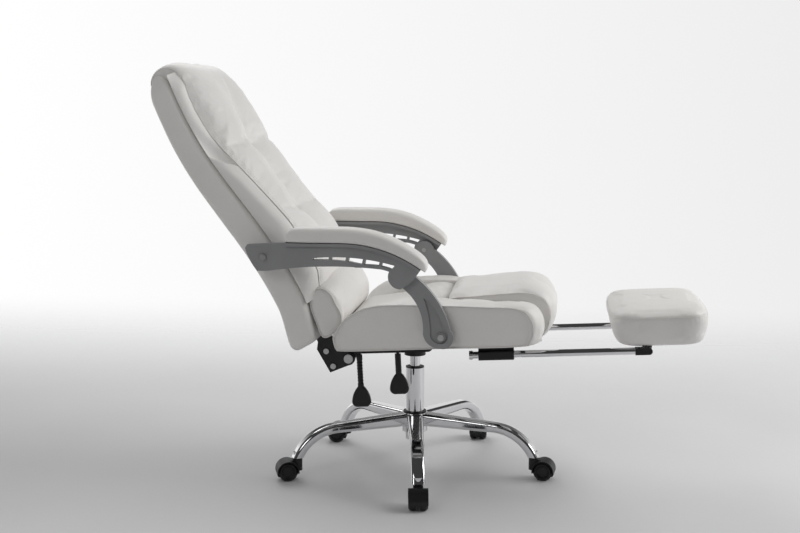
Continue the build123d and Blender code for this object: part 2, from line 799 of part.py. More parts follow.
def footrest_hinges():
    """Two strap knuckles under the footrest board, turning on the pivot tube."""
    hinges = []
    outer = pivot_tube_dia / 2 + running_fit + knuckle_wall
    for side in (-1, 1):
        y_from = side * knuckle_half_spacing - knuckle_length / 2
        y_to = y_from + knuckle_length
        strap = rod_along_y(2 * outer, foot_pivot_x, -rod_drop, y_from, y_to)
        strap += block(foot_pivot_x - outer, foot_pivot_x + outer, y_from, y_to, -rod_drop, foot_bottom)
        strap += block(foot_pivot_x - 3 * outer, foot_pivot_x + 3 * outer, y_from, y_to,
                       foot_bottom - foot_plate, foot_bottom)
        strap -= rod_along_y(pivot_tube_dia + 2 * running_fit, foot_pivot_x, -rod_drop, y_from, y_to)
        hinges.append(seat_place * strap)
    return group(hinges)


def footrest_board():
    half = foot_half_width - foot_board_inset
    return seat_place * block(foot_rear + foot_board_inset, foot_front - foot_board_inset, -half, half,
                              foot_bottom, foot_bottom + foot_board_thickness)


def footrest_section(y, inset):
    """Side outline of the footrest pad: square foot, drawn-in sides and a crowned top."""
    rear, front, top = foot_rear + inset, foot_front - inset, foot_top - inset
    foot, shoulder = foot_corner * 0.6, top - foot_corner
    brow, brow_top = foot_corner * 2.4, top - foot_corner * 0.2
    return profile(
        side_plane(y),
        (rear + foot, foot_bottom), (front - foot, foot_bottom),
        ((front, foot_bottom + foot_thickness * 0.4), (front - foot, shoulder)),
        ((front - brow / 2, top - foot_corner * 0.45), (front - brow, brow_top)),
        (((rear + front) / 2, top), (rear + brow, brow_top)),
        ((rear + brow / 2, top - foot_corner * 0.45), (rear + foot, shoulder)),
        ((rear, foot_bottom + foot_thickness * 0.4), (rear + foot, foot_bottom)))


def footrest_cushion():
    shape = ((-1, 24), (-0.97, 12), (-0.88, 5), (-0.5, 1), (0, 0), (0.5, 1), (0.88, 5), (0.97, 12), (1, 24))
    sections = [footrest_section(foot_half_width * share, inset) for share, inset in shape]
    return seat_place * loft(sections) - footrest_board()


# Back

def bed(z):
    """Where the padding meets the S-shaped back panel, at this height along the back."""
    return bed_mid + bed_swing * cos(pi * (z - lumbar_height) / (shoulder_height - lumbar_height))


def bed_line(gap, low, high):
    """Points up the bed, ahead of it by a gap."""
    steps = 12
    heights = [low + (high - low) * step / steps for step in range(steps + 1)]
    return [(bed(z) + gap, z) for z in heights]


def before_bed(gap):
    """All the room ahead of the bed, from a gap ahead of it, which trims the padding to the cover."""
    line = bed_line(gap, 0, back_top + back_end_radius)
    reach = 3 * crown_height
    return plate(-back_half_width - soft_gap, back_half_width + soft_gap,
                 line[0], line[1:], (reach, line[-1][1]), (reach, line[0][1]))


def back_half(z):
    """Half width of the back: full between the waist and the shoulders, narrower at the foot and the head."""
    foot = back_foot_narrowing * max(0, (back_waist - z) / (back_waist - back_bottom))
    head = back_head_narrowing * max(0, (z - back_shoulder) / (back_top - back_shoulder))
    return back_half_width - foot - head


def end_inset(z, low, high, radius):
    """How far a rounded end draws in at this height."""
    reach = min(z - low, high - z)
    if reach >= radius:
        return 0
    return radius - sqrt(max(0, radius ** 2 - (radius - reach) ** 2))


def back_outline(x):
    """Front view of the back: narrower at the foot and the head, with rounded corners."""
    view = Plane(origin=(x, 0, 0), x_dir=(0, 1, 0), z_dir=(1, 0, 0))
    half = back_half_width
    foot, head = half - back_foot_narrowing, half - back_head_narrowing
    outline = profile(
        view, (-foot, back_bottom), (foot, back_bottom), (half, back_waist), (half, back_shoulder),
        (head, back_top), (-head, back_top), (-half, back_shoulder), (-half, back_waist))
    for height, radius in ((back_bottom, back_rim_radius + 2), (back_top, back_corner),
                           (back_waist, 2 * half), (back_shoulder, 2 * half)):
        outline = fillet(outline.vertices().filter_by_position(Axis.Z, height - 1, height + 1), radius)
    return outline


def back_board_solid(proud):
    """Bent plywood panel, in the back's axes, made proud of the bed where it only cuts its own pocket."""
    half = back_half_width - back_foot_narrowing - back_board_inset
    front = bed_line(proud, back_board_bottom, back_board_top)
    rear = bed_line(-back_board_thickness, back_board_bottom, back_board_top)[::-1]
    return plate(-half, half, front[0], front[1:], rear[0], rear[1:])


def back_board():
    return back_place * (back_board_solid(0) - bracket_bolt_holes())


def bracket_slot():
    """Room in the cover for the left bracket, its flange and the flange's bolt heads."""
    rear, front, top = bracket_rear - soft_gap, bed(back_board_bottom), bracket_top + soft_gap
    face = bracket_flange_face(back_board_bottom)
    web = plate(hinge_face - soft_gap, bracket_outer + soft_gap, (rear, 0), (front, 0), (front, top),
                (face - bracket_flange, top), (rear, bracket_shoulder))
    heads = face - bracket_plate - 2 * bracket_bolt_head_height
    return web + block(heads, front, bracket_outer, bracket_outer + bracket_flange + soft_gap,
                       back_board_bottom, top)


def back_cover():
    """Upholstered rear and side panels, with a pocket for the plywood and slots for the brackets."""
    front = bed_line(0, back_bottom, back_top)
    rear = bed_line(-band_thickness, back_bottom, back_top)[::-1]
    cover = plate(-back_half_width, back_half_width, front[0], front[1:], rear[0], rear[1:])
    cover &= extrude(back_outline(-2 * band_thickness), amount=4 * band_thickness)
    rear_rim = [edge for edge in cover.edges()
                if abs(edge.center().X - bed(edge.center().Z) + band_thickness) < 1]
    cover = fillet(rear_rim, back_rim_radius) - back_board_solid(back_board_thickness)
    cover -= bracket_slot() + other_side(bracket_slot())
    cover -= arm_bolt_holes()
    return back_place * cover


def edge_section(z):
    """Left edge bolster: a rolled strip between the side seam and the stitched front seam."""
    outer = back_half(z) - 1
    inner = back_half(z) - edge_bolster_width
    rear = bed(z) - 2 * soft_gap
    depth = edge_bolster_depth
    return profile(
        level_plane(z),
        (rear, inner), (rear, outer - depth * 0.08),
        ((rear + depth * 0.55, outer), (rear + depth * 0.9, inner * 0.4 + outer * 0.6)),
        ((rear + depth * 0.99, inner + depth * 0.2), (rear + depth * 0.82, inner)))


def edge_bolster():
    count = 8
    step = (cushion_top - cushion_bottom) / count
    sections = [edge_section(cushion_bottom + step * index) for index in range(count + 1)]
    return back_place * (loft(sections) & before_bed(soft_gap))


def crown(z):
    """Height of the stuffed lobes over the bed: full between the sewn channels, low across them."""
    def dip(tuft):
        return (crown_height - channel_height) * max(0, 1 - abs(z - tuft) / channel_reach) ** 1.5

    lift = low_row_lift * max(0, 1 - abs(z - low_row_middle) / low_row_reach)
    return crown_height - dip(upper_tuft) - dip(lower_tuft) + lift


def cushion_section(z):
    """Two stuffed lobes side by side with a crease between them."""
    foot = end_inset(z, cushion_bottom, 2 * cushion_top, 2 * back_end_radius)
    head = end_inset(z, 0, cushion_top, cushion_head_radius) * crown_height / cushion_head_radius
    half = back_half(z) - edge_bolster_width - seam_gap
    rear = bed(z) - back_end_radius / 3
    height = max(crown(z) - foot - head, soft_gap) + bed(z) - rear
    seam = rear + min(cushion_seam, height * 0.55)
    crease = rear + max(height * crease_share, min(cushion_seam, height * 0.55))
    return profile(
        level_plane(z),
        (rear, -half), (rear, half), (seam, half),
        ((rear + height, half * 0.5), (crease, 0)),
        ((rear + height, -half * 0.5), (seam, -half)))


def back_cushion():
    """Tufted front cushion in three stuffed rows, sewn down across at the two tufts."""
    low, high = cushion_bottom, cushion_top
    reach = channel_reach * 0.8
    foot, head = lower_tuft - reach - low, cushion_head_radius
    middle = (upper_tuft + reach + high - head) / 2
    heights = [low + foot * share for share in (0, 0.05, 0.17, 0.43, 0.8)]
    heights += [lower_tuft - reach, lower_tuft, lower_tuft + reach, (lower_tuft + upper_tuft) / 2]
    heights += [upper_tuft - reach, upper_tuft, upper_tuft + reach, middle]
    heights += [high - head * share for share in (1, 0.64, 0.36, 0.16, 0.05)]
    return back_place * (loft([cushion_section(z) for z in heights]) & before_bed(soft_gap))


def lumbar_section(y, share):
    """Side outline of the lumbar roll at this y, where share runs from the flat end (0) to the middle (1)."""
    front = lumbar_end_front + (lumbar_front - lumbar_end_front) * share
    low, high = lumbar_bottom + 4 * (1 - share), lumbar_top - 26 * (1 - share)
    rear_low, rear_high = bed(back_bottom) + soft_gap + 22, bed(lumbar_top) - 2
    middle = (low + high) / 2
    return profile(
        side_plane(y),
        (rear_low, low + 8), ((rear_low + (front - rear_low) * 0.62, low + 14), (front - 4, middle - 16)),
        ((front, middle + 10), (front - 14, middle + 38)),
        ((front * 0.72, high - 6), (rear_high + 4, high)),
        (rear_high, high - 40), (rear_high, low + 40))


def lumbar_cushion():
    half = ((0, 1), (0.45, 0.95), (0.82, 0.62), (0.97, 0.22), (1, 0))
    shape = [(-y, share) for y, share in half[:0:-1]] + list(half)
    sections = [lumbar_section(lumbar_half_width * y, share) for y, share in shape]
    return back_place * (loft(sections) & before_bed(soft_gap))


def bracket_bolt_places():
    """Heights along the back where the bracket flanges bolt to the plywood."""
    return (bracket_top - 46, bracket_top - 16)


def bracket_bolt_holes():
    holes = []
    for side in (-1, 1):
        for z in bracket_bolt_places():
            y = side * (bracket_outer + bracket_flange * 0.55)
            holes.append(rod_along_x(bracket_bolt_dia, y, z, bed(z) - 3 * back_board_thickness, bed(z)))
    return group(holes)


def bracket_flange_face(z):
    """Rear face of the plywood, less a gap, where a flange lies."""
    return bed(z) - back_board_thickness


def back_bracket():
    """Left bracket: a plate on the hinge shaft that folds into a flange against the plywood."""
    r, lap = bracket_radius, bracket_flange_face(back_board_bottom) - bracket_lap
    web = plate(
        hinge_face, bracket_outer,
        (bracket_rear, -r * 0.56), (-r * 0.5, -r), ((r * 0.9, -r * 0.45), (r * 0.55, r * 0.84)),
        (bracket_front, bracket_shoulder), (lap, back_board_bottom), (lap, bracket_top),
        (lap - 4 * bracket_plate, bracket_top), (bracket_rear + 2 * bracket_plate, bracket_shoulder + r / 2),
        (bracket_rear, bracket_shoulder - r / 2))
    flange = block(lap - bracket_plate, lap, bracket_outer - bracket_plate, bracket_outer + bracket_flange,
                   back_board_bottom + bracket_plate, bracket_top)
    bracket = web + flange - rod_along_y(hinge_dia + 2 * running_fit, 0, 0, hinge_face, bracket_outer)
    for x, z in spacer_places:
        bracket -= rod_along_y(bracket_bolt_dia, x, z, hinge_face, bracket_outer)
    return back_place * (bracket - bracket_bolt_holes())


def bracket_spacers():
    spacers = []
    for x, z in spacer_places:
        spacer = rod_along_y(spacer_dia, x, z, -hinge_face, hinge_face)
        spacers.append(back_place * (spacer - rod_along_y(bracket_bolt_dia, x, z, -hinge_face, hinge_face)))
    return group(spacers)


def bracket_bolts():
    """Through bolts of the spacers, and the bolts that hold the flanges to the plywood."""
    bolts = []
    for x, z in spacer_places:
        bolt = rod_along_y(bracket_bolt_dia, x, z, -bracket_outer, bracket_outer)
        for side in (-1, 1):
            near, far = sorted((side * bracket_outer, side * (bracket_outer + bracket_bolt_head_height)))
            bolt += rod_along_y(bracket_bolt_head, x, z, near, far)
        bolts.append(bolt)
    face = bracket_flange_face(back_board_bottom) - bracket_lap - bracket_plate
    for side in (-1, 1):
        for z in bracket_bolt_places():
            y = side * (bracket_outer + bracket_flange * 0.55)
            bolt = rod_along_x(bracket_bolt_dia, y, z, face, bed(z))
            bolts.append(bolt + rod_along_x(bracket_bolt_head, y, z, face - bracket_bolt_head_height, face))
    return group([back_place * bolt for bolt in bolts])


# Arms, made for the left side

def arm_rear_bolt():
    """Shoulder bolt of the beam, threaded into the back."""
    x, z = arm_pivot
    head = beam_outer + side_gap
    bolt = rod_along_y(arm_bolt_dia, x, z, back_half_width - arm_bolt_depth, head)
    return bolt + rod_along_y(arm_bolt_head, x, z, head, head + arm_bolt_head_height)


def arm_bolt_holes():
    """Room for both beam bolts, in the back's axes."""
    x, z = back_point(*arm_pivot)
    hole = rod_along_y(arm_bolt_dia, x, z, back_half_width - arm_bolt_depth, beam_outer)
    return group([hole, other_side(hole)])


def arm_rear_bolts():
    return group([arm_rear_bolt(), other_side(arm_rear_bolt())])


def arm_post_bolt():
    x, z = post_pivot
    head = post_outer + side_gap
    bolt = rod_along_y(arm_bolt_dia, x, z, board_half_width - rail_thickness, head)
    return bolt + rod_along_y(arm_bolt_head, x, z, head, head + arm_bolt_head_height)


def arm_post_bolts():
    return group([arm_post_bolt(), other_side(arm_post_bolt())])


def carrier_arc(offset, share):
    """Point at a share of the carrier's bend, offset outwards. The bend leaves the level run smoothly."""
    flat_x, level = knuckle[0] - carrier_bend, arm_pivot[1] + carrier_rise
    run = carrier_bend + carrier_tip[0]
    drop = level - knuckle[1] - carrier_tip[1]
    radius = (run ** 2 + drop ** 2) / (2 * drop)
    angle = asin(run / radius) * share
    return flat_x + (radius + offset) * sin(angle), level - radius + (radius + offset) * cos(angle)


def carrier_bow(offset, from_share, to_share):
    """Arc stop along the carrier's bend: its middle and its end."""
    return carrier_arc(offset, (from_share + to_share) / 2), carrier_arc(offset, to_share)


def carrier_rear_point(offset):
    return arm_pivot[0] + carrier_rear, arm_pivot[1] + carrier_rise + offset


def chord_middle():
    """Depth of the top chord half way along the windows."""
    return (chord_depth_rear + chord_depth_front) / 2 + chord_sag


def beam_windows():
    """Slanted openings between the beam's two chords, growing towards the knuckle."""
    rear_x = carrier_arc(0, 0)[0] - window_rear
    level = arm_pivot[1] + carrier_rise
    middle_height = (window_height_rear + window_height_front) / 2
    front = window_front_share
    sill = carrier_arc(-chord_middle() - middle_height, front * 0.3)
    band = plate(beam_inner, beam_outer,
                 (rear_x, level - chord_depth_rear),
                 (carrier_arc(-chord_middle(), front * 0.3), carrier_arc(-chord_depth_front, front)),
                 carrier_arc(-chord_depth_front - window_height_front, front * 0.95),
                 (sill, (rear_x, level - chord_depth_rear - window_height_rear)))
    front_x = carrier_arc(0, front)[0]
    for index in range(1, window_count):
        x = rear_x + (front_x - rear_x) * index / window_count
        low, high = knuckle[1], level
        left, right = x - window_bar / 2, x + window_bar / 2
        band -= plate(beam_inner - 1, beam_outer + 1, (left - window_slant, low), (right - window_slant, low),
                      (right + window_slant, high), (left + window_slant, high))
    return band


def beam_outline():
    """Side outline of a beam: heel at the rear pivot, carrier above, truss below, disc at the knuckle."""
    px, pz = arm_pivot
    kx, kz = knuckle
    r = knuckle_radius
    belly = chord_middle() + (window_height_rear + window_height_front) / 2 + chord_thickness
    return (
        (px - beam_tail * 0.87, carrier_rear_point(0)[1] - chord_thickness / 2), carrier_rear_point(0),
        carrier_arc(0, 0), carrier_bow(0, 0, 1),
        carrier_arc(-2 * carrier_thickness, 1), ((kx + r * 0.95, kz - r * 0.3), (kx, kz - r)),
        ((kx - r * 0.95, kz - r * 0.3), (kx - r * 0.86, kz + r * 0.5)),
        (carrier_arc(-belly, window_front_share * 0.25), (px + beam_heel * 0.25, pz - beam_heel)),
        (px - beam_tail * 0.35, pz - beam_heel),
        ((px - beam_tail * 0.74, pz - beam_heel * 0.23), (px - beam_tail, pz + beam_heel * 0.63)))


def arm_beam():
    """Left beam: a truss plate with a pad carrier along its top and the knuckle disc at its front."""
    px, pz = arm_pivot
    kx, kz = knuckle
    t = carrier_thickness
    web = plate(beam_inner, beam_outer, *beam_outline())
    carrier = plate(arm_y - carrier_width / 2, arm_y + carrier_width / 2,
                    carrier_rear_point(0), carrier_arc(0, 0), carrier_bow(0, 0, 1),
                    carrier_arc(-t, 1), carrier_bow(-t, 1, 0), carrier_rear_point(-t))
    carrier -= rod_along_y(2 * (post_eye_radius + 2), kx, kz, 0, beam_inner)
    boss = rod_along_y(2 * arm_bolt_head, px, pz, back_half_width + side_gap, beam_inner)
    beam = web + carrier + boss - beam_windows()
    beam -= rod_along_y(arm_bolt_dia + 2 * running_fit, px, pz, 0, beam_outer)
    return beam - rod_along_y(pin_dia + 2 * pin_play, kx, kz, beam_inner, beam_outer - post_recess)


def pad_section(y, inset):
    """Side outline of the arm pad: flat on the carrier, crowned above and rounded over its tip."""
    top = pad_thickness - inset
    rear_x, level = carrier_rear_point(soft_gap)
    tip_x, tip_z = carrier_arc(soft_gap, 1)
    nose_x, nose_z = carrier_arc(top * 0.75, 1)
    reach = pad_tip_reach - inset
    return profile(
        side_plane(y),
        (rear_x, level), carrier_arc(soft_gap, 0), carrier_bow(soft_gap, 0, 1),
        ((tip_x + reach, tip_z + top * 0.1), (nose_x + reach * 0.55, nose_z - top * 0.1)),
        (carrier_arc(top, 0.62), carrier_arc(top, 0)),
        (rear_x + pad_edge * 2, level + top - pad_edge * 0.4),
        ((rear_x + pad_edge * 0.4, level + top * 0.75), (rear_x, level + top * 0.4)))


def arm_pad():
    """Left arm pad: crowned and soft-edged, following the carrier down at its tip."""
    shape = ((-1, 1), (-0.9, 0.5), (-0.5, 0.1), (0, 0), (0.5, 0.1), (0.9, 0.5), (1, 1))
    return loft([pad_section(arm_y + pad_width / 2 * share, pad_edge * edge) for share, edge in shape])


def post_point(along, across):
    """Point from the knuckle, along the line to the post's own pivot and across it, forwards."""
    dx, dz = post_pivot[0] - knuckle[0], post_pivot[1] - knuckle[1]
    length = hypot(dx, dz)
    tx, tz = dx / length, dz / length
    return knuckle[0] + along * tx - across * tz, knuckle[1] + along * tz + across * tx


def arm_post():
    """Left post: an eye at the knuckle, a bowed shank and a broad foot with a long recess."""
    kx, kz = knuckle
    px, pz = post_pivot
    length = hypot(px - kx, pz - kz)
    eye, foot = post_eye_radius, post_foot_half
    outline = (
        post_point(eye * 0.8, -eye * 0.6),
        (post_point(length * 0.55, -post_waist), post_point(length * 0.83, -foot)),
        (post_point(length, -foot - 2), post_point(length + post_foot_drop * 0.75, -foot * 0.5)),
        (post_point(length + post_foot_drop, 0), post_point(length + post_foot_drop * 0.85, foot * 0.5)),
        (post_point(length + post_foot_drop * 0.5, foot * 0.82), post_point(length, foot * 0.85)),
        (post_point(length * 0.55, post_belly), post_point(eye * 0.5, eye * 0.95)),
        (post_point(-eye * 0.7, eye * 0.7), post_point(-eye * 0.9, -eye * 0.3)),
        (post_point(-eye * 0.2, -eye), post_point(eye * 0.8, -eye * 0.6)))
    post = plate(post_inner, post_outer, *outline)
    recess = plate(
        post_outer - post_recess, post_outer,
        post_point(length * 0.42, post_belly * 0.4),
        (post_point(length * 0.7, 0), post_point(length * 0.9, -foot * 0.62)),
        (post_point(length * 1.04, -foot * 0.5), post_point(length + post_foot_drop * 0.55, 0)),
        (post_point(length * 1.05, foot * 0.45), post_point(length * 0.9, foot * 0.55)),
        (post_point(length * 0.65, post_belly * 0.62), post_point(length * 0.42, post_belly * 0.4)))
    boss = rod_along_y(2 * arm_bolt_head * 0.75, px, pz, seat_half_width + side_gap, post_outer)
    post = post - recess + boss
    post -= rod_along_y(arm_bolt_dia + 2 * running_fit, px, pz, 0, post_outer)
    return post - rod_along_y(pin_dia, kx, kz, post_inner, post_outer)


def knuckle_pin():
    kx, kz = knuckle
    return rod_along_y(pin_dia, kx, kz, post_inner, beam_outer - post_recess - side_gap)


def save(name, shape):
    export_step(shape, os.path.join("parts", name + ".step"))


def save_pair(name, left):
    save(name + "_left", left)
    save(name + "_right", other_side(left))


def main():
    os.makedirs("parts", exist_ok=True)
    save("star_base", star_base())
    save("column_tube", column_tube())
    save("column_bush", column_bush())
    save("hub_ring", hub_ring())
    save("thrust_bearing", thrust_bearing())
    save("piston_rod", piston_rod())
    save("rod_clip", rod_clip())
    save("gas_cylinder", gas_cylinder())
    save("mechanism_housing", mechanism_housing())
    save("mechanism_bolts", mechanism_bolts())
    save("hinge_shaft", hinge_shaft())
    save("lift_lever_rod", lever_rod(lift_lever_x, lift_lever_length))
    save("lift_lever_paddle", lever_paddle(lift_lever_x, lift_lever_length, False))
    save("recline_lever_rod", lever_rod(recline_lever_x, recline_lever_length))
    save("recline_lever_paddle", lever_paddle(recline_lever_x, recline_lever_length, True))
    save("seat_board", seat_board())
    save("seat_cushion", seat_cushion())
    save("thigh_roll", thigh_roll())
    save_pair("seat_bolster", seat_bolster())
    save_pair("footrest_guide", footrest_guide())
    save("guide_screws", guide_screws())
    save_pair("footrest_rod", footrest_rod())
    save("rod_ends", rod_ends())
    save("pivot_tube", pivot_tube())
    save("footrest_hinges", footrest_hinges())
    save("footrest_board", footrest_board())
    save("footrest_cushion", footrest_cushion())
    save("back_board", back_board())
    save("back_cover", back_cover())
    save("back_cushion", back_cushion())
    save_pair("edge_bolster", edge_bolster())
    save("lumbar_cushion", lumbar_cushion())
    save_pair("back_bracket", back_bracket())
    save("bracket_spacers", bracket_spacers())
    save("bracket_bolts", bracket_bolts())
    save("arm_rear_bolts", arm_rear_bolts())
    save("arm_post_bolts", arm_post_bolts())
    save_pair("arm_beam", arm_beam())
    save_pair("arm_pad", arm_pad())
    save_pair("arm_post", arm_post())
    save_pair("knuckle_pin", knuckle_pin())
    fork, wheels = caster_fork(), caster_wheels()
    for index in range(leg_count):
        save(f"caster_fork_{index + 1}", caster_place(index) * fork)
        save(f"caster_wheels_{index + 1}", caster_place(index) * wheels)


main()
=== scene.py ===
# %% [markdown]
# # A reclining office chair with a pull-out footrest
# The metal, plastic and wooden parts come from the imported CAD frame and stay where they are.
# This lesson dresses them: it sews the padded pieces, lays the seams and stitches on them, and
# gives every surface a finish made from shader nodes. All sizes are real, in the frame's own axes:
# +X is the way the sitter faces, +Y is the sitter's left, +Z is up.

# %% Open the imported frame
import json
import bpy
import numpy as np
from math import cos, pi, radians, sin
from mathutils import Matrix, Vector


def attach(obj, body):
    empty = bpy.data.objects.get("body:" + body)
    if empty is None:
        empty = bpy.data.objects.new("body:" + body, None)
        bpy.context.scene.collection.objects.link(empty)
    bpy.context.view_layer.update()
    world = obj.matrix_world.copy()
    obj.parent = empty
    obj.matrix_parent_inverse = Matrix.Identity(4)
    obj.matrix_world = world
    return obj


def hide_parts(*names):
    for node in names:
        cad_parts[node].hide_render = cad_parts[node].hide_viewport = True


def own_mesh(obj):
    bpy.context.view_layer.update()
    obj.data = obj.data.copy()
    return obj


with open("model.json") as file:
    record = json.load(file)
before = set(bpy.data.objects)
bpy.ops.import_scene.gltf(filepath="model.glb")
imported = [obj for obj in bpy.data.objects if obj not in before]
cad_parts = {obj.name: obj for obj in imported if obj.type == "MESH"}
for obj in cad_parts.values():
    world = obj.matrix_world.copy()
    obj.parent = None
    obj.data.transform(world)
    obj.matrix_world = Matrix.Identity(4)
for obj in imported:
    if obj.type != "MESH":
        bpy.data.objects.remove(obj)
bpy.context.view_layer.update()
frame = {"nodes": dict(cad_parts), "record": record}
scene = bpy.context.scene
MM = 0.001
TINY = 1e-9
SIDES = ((1, "left"), (-1, "right"))

# %% [markdown]
# ## Where things are
# The seat and the back each have axes of their own, because both lean. A point is written in
# millimetres in those axes and turned into the frame's metres at the last moment. The back's axes
# start at the recline hinge, with z up along the back. The seat's start under the seat board.

# %% Seat axes and back axes
SEAT_HEIGHT = 381.0
SEAT_TILT = radians(3.0)
HINGE_X, HINGE_Z = -164.0, 325.0
BACK_LEAN = radians(30.0)


def points(x, y, z):
    """Stack three arrays, spread to one shape, into an array of points."""
    return np.stack(np.broadcast_arrays(*(np.asarray(v, float) for v in (x, y, z))), -1)


def leaned(p, x0, z0, lean):
    """Turn points by a lean about Y, move them to x0 and z0, and go from millimetres to metres."""
    x, y, z = p[..., 0], p[..., 1], p[..., 2]
    return MM * points(x0 + x * cos(lean) - z * sin(lean), y, z0 + x * sin(lean) + z * cos(lean))


def from_seat(p):
    """Points in the seat's axes to the frame's metres."""
    return leaned(p, 0.0, SEAT_HEIGHT, SEAT_TILT)


def from_back(p):
    """Points in the back's axes to the frame's metres."""
    return leaned(p, HINGE_X, HINGE_Z, BACK_LEAN)


BACK_ORIGIN = from_back(np.zeros(3))
print("hinge at", BACK_ORIGIN)

# %% [markdown]
# ## The camera
# A product camera stands a little ahead of the chair's right side and looks slightly down. It
# could be set by eye, but then no edge could be compared with the photograph, so its place and its
# lens were fitted to the edges of the column, the casters and the arms.

# %% Camera
CAMERA_AT = np.array([353.3, -3246.2, 989.9])
CAMERA_YAW = radians(-6.94)
CAMERA_PITCH = radians(7.53)
CAMERA_ROLL = radians(0.12)
FOCAL_PIXELS = 1219.9
FRAME_WIDTH = 800
SENSOR_WIDTH = 36.0


def camera_axes(yaw, pitch, roll):
    """Right, up and forward: forward is +Y turned by yaw and tipped down by pitch, then the other
    two are rolled about it."""
    forward = np.array([sin(yaw) * cos(pitch), cos(yaw) * cos(pitch), -sin(pitch)])
    right = np.array([cos(yaw), -sin(yaw), 0.0])
    up = np.cross(right, forward)
    return right * cos(roll) + up * sin(roll), up * cos(roll) - right * sin(roll), forward


camera_data = bpy.data.cameras.new("photo_camera")
camera_data.sensor_width = SENSOR_WIDTH
camera_data.lens = SENSOR_WIDTH * FOCAL_PIXELS / FRAME_WIDTH
camera = bpy.data.objects.new("photo_camera", camera_data)
scene.collection.objects.link(camera)
right, up, forward = camera_axes(CAMERA_YAW, CAMERA_PITCH, CAMERA_ROLL)
place = np.eye(4)
place[:3] = np.column_stack([right, up, -forward, CAMERA_AT * MM])
camera.matrix_world = Matrix(place.tolist())
scene.camera = camera
print("lens", round(camera_data.lens, 2), "mm")

# %% [markdown]
# ## Light
# A white studio lit from above, ahead of the chair and behind it, so that the tops of the cushions
# are bright and the side that faces the camera lies in soft shade. One weak lamp to the left of the
# camera lifts that side a little and gives the chrome a small bright spot. One strong lamp would be
# simpler, but white leather would burn out under it and lose its folds.

# %% Lamps
LAMPS = {  # name: place in metres, size in metres, watts
    "key_lamp": ((3.0, 0.3, 2.2), 2.2, 71.0),
    "back_lamp": ((-1.4, 2.4, 3.0), 2.4, 40.0),
    "fill_lamp": ((-1.5, -3.1, 2.2), 1.4, 14.0),
}
CHAIR_MIDDLE = Vector((0.0, 0.0, 0.55))
scene.view_settings.view_transform = "Standard"

for lamp_name, (lamp_at, lamp_size, lamp_power) in LAMPS.items():
    lamp_data = bpy.data.lights.new(lamp_name, "AREA")
    lamp_data.shape = "SQUARE"
    lamp_data.size = lamp_size
    lamp_data.energy = lamp_power
    lamp = bpy.data.objects.new(lamp_name, lamp_data)
    lamp.location = lamp_at
    lamp_way = CHAIR_MIDDLE - Vector(lamp_at)
    lamp.rotation_euler = lamp_way.to_track_quat("-Z", "Y").to_euler()
    scene.collection.objects.link(lamp)
print("lamps", len(LAMPS))

# %% [markdown]
# ## Shader sums in plain Python
# A material is a sum over a few patterns. Wiring Math nodes by hand hides that sum, so a small
# class wraps a socket and turns + - * and / into Math nodes. One method makes any other node.

# %% Socket arithmetic
class Wire:
    """One output socket. Arithmetic on it adds a Math node and gives that node's output."""

    def __init__(self, tree, socket):
        self.tree = tree
        self.socket = socket

    def math(self, operation, *values):
        node = self.tree.nodes.new("ShaderNodeMath")
        node.operation = operation
        for slot, value in zip(node.inputs, values):
            if isinstance(value, Wire):
                self.tree.links.new(value.socket, slot)
            else:
                slot.default_value = value
        return Wire(self.tree, node.outputs[0])

    def __add__(self, other):
        return self.math("ADD", self, other)

    def __sub__(self, other):
        return self.math("SUBTRACT", self, other)

    def __rsub__(self, other):
        return self.math("SUBTRACT", other, self)

    def __mul__(self, other):
        return self.math("MULTIPLY", self, other)

    def __truediv__(self, other):
        return self.math("DIVIDE", self, other)

    def __rtruediv__(self, other):
        return self.math("DIVIDE", other, self)

    __radd__, __rmul__ = __add__, __mul__

    def clamp(self):
        return self.math("MINIMUM", self.math("MAXIMUM", self, 0.0), 1.0)


class Nodes:
    """A node tree, with one method that adds any node to it."""

    def __init__(self, tree):
        self.tree = tree

    def node(self, kind, settings=None, inputs=None, output=0):
        node = self.tree.nodes.new(kind)
        for key, value in (settings or {}).items():
            setattr(node, key, value)
        for key, value in (inputs or {}).items():
            if isinstance(value, Wire):
                self.tree.links.new(value.socket, node.inputs[key])
            else:
                node.inputs[key].default_value = value
        return Wire(self.tree, node.outputs[output])


print("arithmetic ready")

# %% [markdown]
# ## One material at a time
# Every finish is a Principled shader fed by patterns in the object's own coordinates. Constant
# values are set on the shader, and only colour, roughness, height and alpha change over a surface.
# Pictures of the materials could be laid on instead, but a pattern has no edge and stays sharp.

